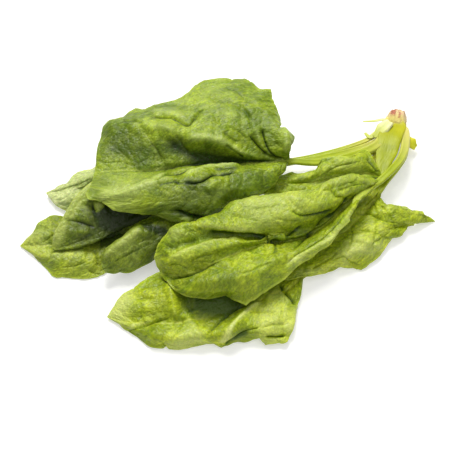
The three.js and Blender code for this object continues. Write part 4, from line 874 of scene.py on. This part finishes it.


# the pale colour is a painted highlight and the deep colour a painted shade
def leaf_material(name, dark, light, vein, under, pale, painted_shade_col, rough=0.40, sss=0.14, edge_col=None, edge_amt=0.0):
    m = Nodes(name)
    flat = m.attr("sheet_mm").outputs["Vector"]
    painted_light_shade = m.attr("painted_light_shade").outputs["Fac"]
    mask = m.new("ShaderNodeSeparateXYZ")
    m.link(m.attr("marks").outputs["Vector"], mask.inputs[0])   # vein, margin, under
    veins, margin, below = mask.outputs
    blot = m.noise(flat, 0.05, 4.0, 0.6, 0.6)
    mid = m.noise(flat, 0.17, 4.0, 0.62, 0.4)
    fine = m.noise(flat, 0.6, 3.0, 0.6)
    net1 = m.edge(flat, 0.21, (0.12, 2.6))
    net2 = m.edge(flat, 0.55, (0.3, 1.2))
    line1 = m.ramp(net1, ((0.0, 0.10), (1.0, 0.0)))
    crease_shade_lines = m.ramp(net2, ((0.0, 0.12), (1.0, 0.0)))
    base = m.mix(m.ramp(blot, ((0.32, 0.68), (0.0, 1.0))), dark, light)
    streak = m.mix(m.ramp(mid, ((0.30, 0.70), (0.0, 1.0))), (0.74, 0.76, 0.70, 1), (1.22, 1.20, 1.22, 1))
    base = m.mix(1.0, base, streak, "MULTIPLY")
    speck = m.mix(m.ramp(fine, ((0.3, 0.7), (0.0, 1.0))), (0.76, 0.78, 0.70, 1), (1.20, 1.19, 1.24, 1))
    base = m.mix(1.0, base, speck, "MULTIPLY")
    # crinkles that run out along the side veins
    part = m.new("ShaderNodeSeparateXYZ")
    m.link(flat, part.inputs[0])
    fold = m.new("ShaderNodeCombineXYZ")
    m.link(m.attr("across").outputs["Fac"], fold.inputs[0])
    m.link(part.outputs[1], fold.inputs[1])
    fold_at = m.new("ShaderNodeMapping", vector_type="TEXTURE")
    fold_at.inputs["Rotation"].default_value = (0.0, 0.0, math.radians(-52.0))
    fold_at.inputs["Scale"].default_value = (0.9, 4.2, 1.0)
    m.link(fold.outputs[0], fold_at.inputs["Vector"])
    crinkle = m.noise(fold_at.outputs[0], 1.0, 3.0, 0.62, 0.4)
    grain = m.mix(m.ramp(crinkle, ((0.30, 0.70), (0.0, 1.0))), (0.76, 0.78, 0.70, 1), (1.20, 1.18, 1.24, 1))
    base = m.mix(1.0, base, grain, "MULTIPLY")
    # painted highlight: the leaf lightens towards the pale colour where the painted light and shade is above zero
    base = m.mix(m.math("MULTIPLY", m.math("MAXIMUM", painted_light_shade, 0.0, True), 0.75), base, pale)
    base = m.mix(m.math("MULTIPLY", line1, 0.10), base, vein)
    # painted shade: the fine network of creases darkens towards the shade colour
    base = m.mix(m.math("MULTIPLY", crease_shade_lines, 0.20), base, painted_shade_col)
    if edge_col:
        base = m.mix(m.math("MULTIPLY", m.ramp(margin, ((0.75, 1.0), (0.0, 1.0))), edge_amt), base, edge_col)
    base = m.mix(m.math("MULTIPLY", veins, 0.6), base, vein)
    # painted shade: the leaf darkens towards the shade colour where the painted light and shade is below zero
    base = m.mix(m.math("MULTIPLY", painted_light_shade, -0.95, True), base, painted_shade_col)
    back = m.mix(1.0, under, streak, "MULTIPLY")
    back = m.mix(m.math("MULTIPLY", line1, 0.35), back, vein)
    back = m.mix(m.math("MULTIPLY", veins, 0.6), back, vein)
    col = m.mix(below, base, back)
    m.link(col, m.bsdf.inputs["Base Color"])
    r1 = m.ramp(fine, ((0.25, 0.75), (rough - 0.10, rough + 0.12)))
    r2 = m.math("ADD", r1, m.math("MULTIPLY", below, 0.14))
    m.link(m.math("ADD", r2, m.math("MULTIPLY", line1, 0.05)), m.bsdf.inputs["Roughness"])
    h = m.math("ADD", m.math("MULTIPLY", net1, 0.9), m.math("MULTIPLY", net2, 0.35))
    h = m.math("ADD", m.math("MINIMUM", h, 0.42), m.math("MULTIPLY", fine, 0.14))
    h = m.math("ADD", h, m.math("MULTIPLY", crinkle, 0.28))
    m.link(m.bump(h, 0.0013, 0.75), m.bsdf.inputs["Normal"])
    m.bsdf.inputs["IOR"].default_value = 1.45
    m.bsdf.inputs["Specular IOR Level"].default_value = 0.40
    m.bsdf.inputs["Subsurface Weight"].default_value = sss
    m.bsdf.inputs["Subsurface Radius"].default_value = (0.55, 1.0, 0.12)
    m.bsdf.inputs["Subsurface Scale"].default_value = 0.0018
    return m.mat


def stalk_material(name, low, mid, high, rough=0.36):
    m = Nodes(name)
    flat = m.attr("sheet_mm").outputs["Vector"]           # around mm, along mm
    mask = m.new("ShaderNodeSeparateXYZ")
    m.link(m.attr("marks").outputs["Vector"], mask.inputs[0])   # along 0..1, groove, blade part
    along, groove, onblade = mask.outputs
    sx = m.new("ShaderNodeMapping")
    sx.inputs["Scale"].default_value = (1.0, 0.06, 1.0)
    m.link(flat, sx.inputs["Vector"])
    streak = m.noise(sx.outputs[0], 1.7, 4.0, 0.6)
    blot = m.noise(flat, 0.12, 3.0, 0.5)
    c = m.mix(m.ramp(along, ((0.02, 0.26), (0.0, 1.0))), low, mid)
    c = m.mix(m.ramp(along, ((0.22, 0.85), (0.0, 1.0))), c, high)
    c = m.mix(m.ramp(streak, ((0.35, 0.65), (0.0, 0.35))), c, m.mix(0.5, c, (0.62, 0.72, 0.20, 1), "MULTIPLY"))
    c = m.mix(m.ramp(blot, ((0.3, 0.7), (0.0, 0.22))), c, (0.66, 0.72, 0.03, 1))
    # painted shade: the colour darkens in the channel along the top of the stalk
    c = m.mix(m.math("MULTIPLY", groove, 0.35), c, m.mix(1.0, c, (0.62, 0.70, 0.30, 1), "MULTIPLY"))
    m.link(c, m.bsdf.inputs["Base Color"])
    m.link(m.ramp(streak, ((0.2, 0.8), (rough - 0.08, rough + 0.12))), m.bsdf.inputs["Roughness"])
    m.link(m.bump(streak, 0.0007, 0.5), m.bsdf.inputs["Normal"])
    m.bsdf.inputs["Specular IOR Level"].default_value = 0.30
    m.bsdf.inputs["Subsurface Weight"].default_value = 0.14
    m.bsdf.inputs["Subsurface Radius"].default_value = (1.0, 1.0, 0.20)
    m.bsdf.inputs["Subsurface Scale"].default_value = 0.0025
    return m.mat


def crown_material():
    m = Nodes("root_crown_skin")
    flat = m.attr("sheet_mm").outputs["Vector"]
    mask = m.new("ShaderNodeSeparateXYZ")
    m.link(m.attr("marks").outputs["Vector"], mask.inputs[0])
    along, cut, _ = mask.outputs
    n1 = m.noise(flat, 0.35, 4.0, 0.6, 0.4)
    n2 = m.noise(flat, 1.3, 3.0, 0.6)
    c = m.mix(m.ramp(n1, ((0.40, 0.70), (0.0, 1.0))), rgb(228, 212, 154), rgb(214, 160, 142))
    c = m.mix(m.ramp(along, ((0.22, 0.72), (0.0, 1.0))), c, rgb(214, 200, 112))
    c = m.mix(m.ramp(n2, ((0.58, 0.72), (0.0, 0.5))), c, rgb(190, 130, 92))
    red = m.mix(m.ramp(n2, ((0.40, 0.62), (0.0, 1.0))), rgb(196, 112, 84), rgb(120, 44, 22))
    c = m.mix(m.math("MULTIPLY", cut, m.ramp(n1, ((0.25, 0.60), (0.45, 1.0)))), c, red)
    m.link(c, m.bsdf.inputs["Base Color"])
    m.bsdf.inputs["Roughness"].default_value = 0.55
    m.link(m.bump(n2, 0.0012, 0.7), m.bsdf.inputs["Normal"])
    m.bsdf.inputs["Subsurface Weight"].default_value = 0.15
    m.bsdf.inputs["Subsurface Radius"].default_value = (1.0, 0.6, 0.4)
    m.bsdf.inputs["Subsurface Scale"].default_value = 0.002
    return m.mat


# ------------------------------------------------------------------ meshes
def add_mesh(name, verts_mm, faces, mat, sheet_mm, marks, node, painted_light_shade=None, across=None):
    me = bpy.data.meshes.new(name)
    v = np.asarray(verts_mm, float) * 0.001
    v[:, 2] = np.maximum(v[:, 2], 0.0001)
    me.from_pydata(v.tolist(), [], faces)
    a = me.attributes.new("sheet_mm", "FLOAT_VECTOR", "POINT")
    a.data.foreach_set("vector", np.asarray(sheet_mm, np.float32).ravel())
    b = me.attributes.new("marks", "FLOAT_VECTOR", "POINT")
    b.data.foreach_set("vector", np.asarray(marks, np.float32).ravel())
    if painted_light_shade is not None:
        c = me.attributes.new("painted_light_shade", "FLOAT", "POINT")
        c.data.foreach_set("value", np.asarray(painted_light_shade, np.float32).ravel())
    if across is not None:
        c = me.attributes.new("across", "FLOAT", "POINT")
        c.data.foreach_set("value", np.asarray(across, np.float32).ravel())
    me.polygons.foreach_set("use_smooth", np.ones(len(me.polygons), bool))
    me.materials.append(mat)
    me.validate()
    me.update()
    o = bpy.data.objects.new(name, me)
    bpy.context.scene.collection.objects.link(o)
    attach(o, "root")
    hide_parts(node)
    return o


NODE = {"A": "top_broad", "D": "front_long", "G": "centre_small", "F": "right_lobed", "E": "front_low", "B": "back_pale",
        "C1": "far_left", "C3": "left_rounded", "C2": "left_folded"}


def build_blade(key, mat, slot):
    sh = sheets[key]
    P = sh["P"]
    R, C = P.shape[:2]
    N = grid_normals(P)
    T, S = sh["T"], sh["S"]
    th = (0.30 + 0.28 * (1 - smooth(0.7, 1.0, T))) * 0.5
    top = P + N * th[..., None]
    bot = P - N * th[..., None]
    # poles: one point each
    keep = range(1, R - 1)
    verts = [P[0, sh["im"]], P[-1, sh["im"]]]
    nt = (R - 2) * C
    verts = np.concatenate([np.array(verts), top[1:-1].reshape(-1, 3), bot[1:-1].reshape(-1, 3)])
    t_at = lambda i, j: 2 + i * C + j
    b_at = lambda i, j: 2 + nt + i * C + j
    ii, jj = np.meshgrid(np.arange(R - 3), np.arange(C - 1), indexing="ij")
    ii, jj = ii.ravel(), jj.ravel()
    ft = np.stack([t_at(ii, jj), t_at(ii + 1, jj), t_at(ii + 1, jj + 1), t_at(ii, jj + 1)], 1)
    fb = np.stack([b_at(ii, jj), b_at(ii, jj + 1), b_at(ii + 1, jj + 1), b_at(ii + 1, jj)], 1)
    faces = ft.tolist() + fb.tolist()
    for i in range(R - 3):
        faces.append([t_at(i, 0), b_at(i, 0), b_at(i + 1, 0), t_at(i + 1, 0)])
        faces.append([t_at(i, C - 1), t_at(i + 1, C - 1), b_at(i + 1, C - 1), b_at(i, C - 1)])
    e = R - 3
    for j in range(C - 1):
        faces.append([0, t_at(0, j), t_at(0, j + 1)])
        faces.append([0, b_at(0, j + 1), b_at(0, j)])
        faces.append([1, t_at(e, j + 1), t_at(e, j)])
        faces.append([1, b_at(e, j), b_at(e, j + 1)])
    faces.append([0, b_at(0, 0), t_at(0, 0)])
    faces.append([0, t_at(0, C - 1), b_at(0, C - 1)])
    faces.append([1, t_at(e, 0), b_at(e, 0)])
    faces.append([1, b_at(e, C - 1), t_at(e, C - 1)])
    # make the winding face outward: top faces look along N
    a, b, c = verts[ft[len(ft) // 2][0]], verts[ft[len(ft) // 2][1]], verts[ft[len(ft) // 2][2]]
    i0, j0 = ii[len(ft) // 2], jj[len(ft) // 2]
    if np.dot(np.cross(b - a, c - a), N[i0 + 1, j0]) < 0:
        faces = [f[::-1] for f in faces]
    lv = np.exp(-(sh["lat"] / (0.42 + 0.35 * (1 - T))) ** 2) * (1 - 0.55 * T)
    rw = 0.25 + 1.15 * (1 - S) ** 0.8
    mv = np.exp(-(sh["rib"] / rw) ** 2)
    vein = np.clip(np.maximum(0.42 * lv, sh["look"].get("rib", 1.0) * mv), 0, 1)
    edge = smooth(0.0, 1.0, (T - 0.80) / 0.2)
    tipness = smooth(0.93, 1.0, S)
    edge = np.maximum(edge, tipness)
    fl = np.stack([sh["X"] + 200 * (sh["seed"] % 7), sh["Y"] + 131 * sh["seed"], np.zeros_like(T)], -1)
    mt = np.stack([vein, edge, np.zeros_like(T)], -1)
    mb = np.stack([vein, edge, np.ones_like(T)], -1)
    pole = lambda g, i: g[i, sh["im"]][None]
    flat = np.concatenate([pole(fl, 0), pole(fl, -1), fl[1:-1].reshape(-1, 3), fl[1:-1].reshape(-1, 3)])
    marks = np.concatenate([pole(mt, 0), pole(mt, -1), mt[1:-1].reshape(-1, 3), mb[1:-1].reshape(-1, 3)])
    tn = np.clip(sh["painted_light_shade"], -1.1, 1.2)
    painted_light_shade = np.concatenate([[tn[0, sh["im"]], tn[-1, sh["im"]]], tn[1:-1].ravel(), tn[1:-1].ravel()])
    ax = np.abs(sh["X"])
    across = np.concatenate([[ax[0, sh["im"]], ax[-1, sh["im"]]], ax[1:-1].ravel(), ax[1:-1].ravel()])
    return add_mesh("blade_%s_leaf" % NODE[key], verts, faces, mat, flat, marks, "blade_" + NODE[key], painted_light_shade, across)


def rod(name, path, radii_w, radii_h, mat, node, sides=28, groove=0.3, seed=1, up=None, ribs=0.03, steps=None, wob=0.0):
    """closed channelled rod: path (n,3) mm, half widths and heights per point"""
    path = np.asarray(path, float)
    n = len(path)
    tan = np.gradient(path, axis=0)
    tan /= np.linalg.norm(tan, axis=1, keepdims=True)
    if up is None:
        up = np.tile(np.array([0, 0, 1.0]), (n, 1))
    side = np.cross(up, tan)
    side /= np.maximum(np.linalg.norm(side, axis=1, keepdims=True), 1e-6)
    liftv = np.cross(tan, side)
    cum = np.concatenate([[0], np.cumsum(np.linalg.norm(np.diff(path, axis=0), axis=1))])
    ang = np.arange(sides) / sides * 2 * np.pi
    ca, sa = np.cos(ang), np.sin(ang)
    g = groove if np.ndim(groove) else np.full(n, groove)
    dent = np.exp(-((ang - np.pi / 2) / 0.55) ** 2)
    verts, fl, mk = [], [], []
    for i in range(n):
        w, h = radii_w[i], radii_h[i]
        rib = 1 + ribs * np.cos(9 * ang + 0.6 * math.sin(cum[i] / 17 + seed)) + wob * noise2(ang * 1.3 + seed, np.full(sides, cum[i] / 5.0), seed)
        x = w * ca * rib
        y = h * sa * rib - h * g[i] * 1.35 * dent
        verts.append(path[i] + side[i] * x[:, None] + liftv[i] * y[:, None])
        fl.append(np.stack([ang * (w + h) / 2 * 1.0 + seed * 37, np.full(sides, cum[i]), np.zeros(sides)], -1))
        mk.append(np.stack([np.full(sides, cum[i] / cum[-1]), dent, np.zeros(sides)], -1))
    verts = np.concatenate([path[:1]] + verts + [path[-1:]])
    fl = np.concatenate([fl[0][:1]] + fl + [fl[-1][:1]])
    mk = np.concatenate([mk[0][:1]] + mk + [mk[-1][:1]])
    faces = []
    at = lambda i, k: 1 + i * sides + (k % sides)
    for k in range(sides):
        faces.append([0, at(0, k + 1), at(0, k)])
        faces.append([len(verts) - 1, at(n - 1, k), at(n - 1, k + 1)])
    for i in range(n - 1):
        for k in range(sides):
            faces.append([at(i, k), at(i, k + 1), at(i + 1, k + 1), at(i + 1, k)])
    a, b, c = [verts[q] for q in faces[-1][:3]]
    cen = path[n - 2]
    if np.dot(np.cross(b - a, c - a), a - cen) < 0:
        faces = [f[::-1] for f in faces]
    return add_mesh(name, verts, faces, mat, fl, mk, node)


def build_stalk(key, mat):
    sh = sheets[key]
    look = sh["look"]
    pts = stalk_path(key)
    t = np.linspace(0, 1, 90)
    c = weights(t, len(pts)) @ pts
    r0, r1, r2 = LEAVES[key]["radii"]
    r = np.interp(t, [0, 0.10, 0.3, 0.8, 1], [r0 * 1.25, r0 * 1.25, r1, (r1 + r2) / 2, r2])
    broad = SHEATH.get(key, 1.0)
    wide = r * np.interp(t, [0, 0.05, 0.15, 0.45, 0.75, 1], [0.55, 1.05, 1.35 * broad, 1.1 * broad, 1.0 + 0.4 * (broad - 1), 1.0])
    high = r * np.interp(t, [0, 0.07, 0.16, 0.45, 1], [0.25, 0.45, 0.66, 0.78, 0.85])
    if key in WINGS:
        wide = np.interp(t, *WINGS[key][0])
        high = np.interp(t, *WINGS[key][1])
    up = np.tile(np.array([0, 0, 1.0]), (len(c), 1))
    # the midrib: the stalk runs on under the blade
    P, N = sh["P"], grid_normals(sh["P"])
    R = P.shape[0]
    im = sh["im"]
    last = int(R * 0.82)
    idx = np.arange(3, last, 2)
    f = (idx - 3) / float(last - 3)
    rr = r2 * (0.92 - 0.80 * f ** 0.7) * (1 - (1 - look.get("rib", 1.0)) * smooth(0.0, 0.08, f))
    hh = rr * 0.85
    down = hh * (0.35 + 0.80 * smooth(0.0, 0.10, f)) + 0.12
    mid = P[idx, im] - N[idx, im] * down[:, None]
    path = np.concatenate([c[:-1], mid])
    wide = np.concatenate([wide[:-1], rr])
    high = np.concatenate([high[:-1], hh])
    up = np.concatenate([up[:-1], N[idx, im]])
    for _ in range(6):
        path[1:-1] = 0.25 * path[:-2] + 0.5 * path[1:-1] + 0.25 * path[2:]
        up[1:-1] = 0.25 * up[:-2] + 0.5 * up[1:-1] + 0.25 * up[2:]
    groove = np.concatenate([np.interp(t[:-1], [0, 0.2, 1], [0.55, 0.5, 0.32]), 0.25 * (1 - f)])
    return rod("stalk_%s_rod" % NODE[key], path, wide, high, mat, "stalk_" + NODE[key], 28, groove, sh["seed"], up, 0.025)


EDGE = rgb(196, 212, 74)
PALE = rgb(190, 204, 118)
# the leaf skins are lighter and darker copies of one leaf material: partly the leaves' own colour, partly painted light
# and shade, darker for the leaves lying in shade under the top leaf (leaf_dark), lighter for the lit front and right
# leaves (leaf_bright) and for the hazily lit back leaf (leaf_pale)
leaf_top = leaf_material("leaf_top_skin", rgb(94, 118, 8), rgb(146, 166, 28), rgb(170, 184, 72), rgb(146, 162, 70), rgb(182, 198, 106), rgb(40, 58, 4), edge_col=EDGE, edge_amt=0.2)
leaf_dark = leaf_material("leaf_dark_skin", rgb(86, 106, 8), rgb(126, 144, 24), rgb(158, 170, 66), rgb(130, 146, 62), rgb(176, 190, 92), rgb(36, 50, 4), edge_col=EDGE, edge_amt=0.25)
leaf_mid = leaf_material("leaf_mid_skin", rgb(122, 146, 8), rgb(166, 182, 28), rgb(190, 202, 66), rgb(160, 176, 60), rgb(194, 206, 108), rgb(56, 78, 4), edge_col=EDGE, edge_amt=0.5)
leaf_bright = leaf_material("leaf_bright_skin", rgb(142, 162, 8), rgb(180, 193, 32), rgb(200, 210, 80), rgb(172, 184, 66), rgb(210, 218, 126), rgb(70, 92, 6), edge_col=EDGE, edge_amt=0.4)
leaf_left = leaf_material("leaf_left_skin", rgb(126, 146, 14), rgb(168, 180, 46), rgb(190, 200, 90), rgb(164, 176, 66), rgb(198, 208, 136), rgb(60, 76, 8), edge_col=EDGE, edge_amt=0.3)
leaf_pale = leaf_material("leaf_pale_skin", rgb(158, 174, 90), rgb(192, 202, 130), rgb(212, 218, 150), rgb(182, 194, 118), rgb(220, 226, 172), rgb(110, 126, 46), edge_col=EDGE, edge_amt=0.6)
SHEATH = {"G": 1.55, "E": 1.5, "C1": 1.4, "C3": 1.3, "D": 1.05, "A": 1.2, "C2": 1.1}
WINGS = {"G": (([0, 0.12, 0.30, 0.50, 0.70, 0.88, 1], [2.0, 4.0, 6.6, 8.2, 7.2, 4.6, 2.6]), ([0, 0.10, 0.3, 0.8, 1], [0.4, 1.1, 1.15, 1.15, 1.5]))}
stalk_mat = stalk_material("stalk_skin", rgb(220, 208, 128), rgb(158, 174, 22), rgb(112, 136, 6))
gold_mat = stalk_material("stalk_gold_skin", rgb(186, 180, 30), rgb(150, 160, 0), rgb(150, 168, 4))
MATS = {"A": (leaf_top, "leaf_dark"), "C1": (leaf_left, "leaf_dark"), "C2": (leaf_dark, "leaf_dark"), "C3": (leaf_dark, "leaf_dark"),
        "D": (leaf_mid, "leaf_mid"), "G": (leaf_mid, "leaf_mid"), "F": (leaf_bright, "leaf_mid"), "E": (leaf_bright, "leaf_mid"),
        "B": (leaf_pale, "leaf_pale")}
for key in LEAVES:
    build_blade(key, *MATS[key])
    build_stalk(key, gold_mat if key in ("G", "E", "C1", "C3") else stalk_mat)
stub_mat = stalk_material("stub_skin", rgb(240, 236, 200), rgb(232, 232, 180), rgb(200, 206, 110), 0.45)
yellow_mat = stalk_material("stub_yellow_skin", rgb(214, 210, 60), rgb(222, 214, 44), rgb(206, 204, 40), 0.45)
for name, (pts, rr) in STUBS.items():
    pts = lift(np.array(pts))
    t = np.linspace(0, 1, 36)
    c = weights(t, len(pts)) @ pts
    r = np.interp(t, [0, 0.5, 1], rr)
    rod(name + "_rod", c, r * 1.2, r * 0.6, yellow_mat if name == "stub_crumpled" else stub_mat, name, 18, 0.5, 3, None, 0.06, wob=0.10)


# ------------------------------------------------------------------ root crown
def build_crown(mat):
    length = np.linalg.norm(CFRONT - CROOT)
    rows, sides = 44, 60
    prof_t = [0, 0.02, 0.08, 0.20, 0.36, 0.54, 0.70, 0.84, 0.94, 1.0]
    prof_r = [4.2, 5.1, 5.6, 6.2, 6.8, 7.2, 7.3, 6.5, 5.0, 2.8]
    verts, fl, mk = [], [], []
    ang = np.arange(sides) / sides * 2 * np.pi
    for i in range(rows):
        t = i / (rows - 1)
        r = np.interp(t, prof_t, prof_r)
        x = CROOT + AX * (length * (0.20 + 1.12 * t))
        rr = r * (1 + 0.06 * np.cos(5 * ang + 1.0 + 2 * t) + 0.05 * noise2(ang * 2.2, np.full(sides, t * 6), 5) + 0.03 * np.cos(11 * ang + 7 * t))
        rr = rr + 0.35 * (noise2(ang * 5, np.full(sides, t * 22), 8)) * smooth(0.7, 0.1, np.full(sides, t))
        jag = AX[None] * (2.0 * noise2(ang * 3.1, np.full(sides, 3.0), 9) * (1 - t) ** 6)[:, None]
        verts.append(x + CU[None] * (rr * np.cos(ang))[:, None] + CW[None] * (rr * np.sin(ang))[:, None] + jag)
        fl.append(np.stack([ang * 5, np.full(sides, t * length), np.zeros(sides)], -1))
        stain = 1.1 * np.exp(-((ang - 1.75) / 0.55) ** 2 - ((t - 0.30) / 0.26) ** 2) + 0.8 * np.exp(-((ang - 1.3) / 0.25) ** 2 - ((t - 0.62) / 0.2) ** 2)
        core = np.exp(-((ang - 2.1) / 0.25) ** 2 - ((t - 0.30) / 0.20) ** 2)
        stain = core + stain * smooth(-0.25, 0.2, noise2(ang * 6, np.full(sides, t * 2.2), 14)) + 0.9 * smooth(0.1, 0.5, noise2(ang * 7, np.full(sides, t * 2.0), 15)) * smooth(0.5, 0.1, np.full(sides, t))
        mk.append(np.stack([np.full(sides, t), np.clip(np.maximum(stain, 1.0 if t < 0.06 else 0.0), 0, 1), np.zeros(sides)], -1))
    # the cut face sinks a little, in two rings
    ends = []
    for f, dpt in ((0.6, 0.5), (0.25, 0.9)):
        c0 = CROOT + AX * (length * 0.20)
        ends.append(c0 + AX * dpt + (verts[0] - c0) * f + AX * 0)
    verts = [ends[1], ends[0]] + verts
    fl = [fl[0] * 0.3, fl[0] * 0.6] + fl
    mk = [np.tile([0, 1.0, 0], (sides, 1))] * 2 + mk
    n = len(verts)
    front = verts[-1].mean(0)
    root = verts[0].mean(0)
    V = np.concatenate([root[None]] + verts + [front[None]])
    FL = np.concatenate([fl[0][:1]] + fl + [fl[-1][:1]])
    MK = np.concatenate([mk[0][:1]] + mk + [mk[-1][:1]])
    at = lambda i, k: 1 + i * sides + (k % sides)
    faces = []
    for k in range(sides):
        faces.append([0, at(0, k + 1), at(0, k)])
        faces.append([len(V) - 1, at(n - 1, k), at(n - 1, k + 1)])
        for i in range(n - 1):
            faces.append([at(i, k), at(i, k + 1), at(i + 1, k + 1), at(i + 1, k)])
    a, b, c = [V[q] for q in faces[-1][:3]]
    if np.dot(np.cross(b - a, c - a), a - (front + root) / 2) < 0:
        faces = [f[::-1] for f in faces]
    return add_mesh("root_crown_body", V, faces, mat, FL, MK, "root_crown")


build_crown(crown_material())

# ------------------------------------------------------------------ floor, light, camera
me = bpy.data.meshes.new("floor")
s = 3.0
me.from_pydata([(-s, -s, 0), (s, -s, 0), (s, s, 0), (-s, s, 0)], [], [(0, 1, 2, 3)])
floor = bpy.data.objects.new("floor", me)
bpy.context.scene.collection.objects.link(floor)
fm = Nodes("floor_paper")
fm.bsdf.inputs["Base Color"].default_value = (0.69, 0.69, 0.69, 1)
fm.bsdf.inputs["Roughness"].default_value = 0.9
fm.bsdf.inputs["Specular IOR Level"].default_value = 0.1
# the floor glows: painted light that lifts the shadows on it and lights the leaves from below
fm.bsdf.inputs["Emission Color"].default_value = (1, 1, 1, 1)
fm.bsdf.inputs["Emission Strength"].default_value = FLOOR_GLOW
me.materials.append(fm.mat)

scene = bpy.context.scene
world = bpy.data.worlds.new("studio")
scene.world = world
world.use_nodes = True
world.node_tree.nodes["Background"].inputs[0].default_value = (1.0, 1.0, 1.0, 1)
world.node_tree.nodes["Background"].inputs[1].default_value = WORLD


def area(name, place, aim, size, watts, colour=(1, 1, 1)):
    l = bpy.data.lights.new(name, "AREA")
    l.shape = "SQUARE"
    l.size = size
    l.energy = watts
    l.color = colour
    o = bpy.data.objects.new(name, l)
    o.location = place
    o.rotation_euler = (Vector(aim) - Vector(place)).to_track_quat("-Z", "Y").to_euler()
    scene.collection.objects.link(o)
    return o


for args in LIGHTS:
    area(*args)

cam = bpy.data.cameras.new("camera")
cam.sensor_width = 36.0
cam.lens = 36.0 * DIST / (450.0 * UNIT)
cam.clip_start = 0.01
camera = bpy.data.objects.new("camera", cam)
camera.location = Vector((EYE + SHIFT) * 0.001)
camera.rotation_euler = Vector(FWD).to_track_quat("-Z", "Y").to_euler()
scene.collection.objects.link(camera)
scene.camera = camera
scene.view_settings.view_transform = "Standard"
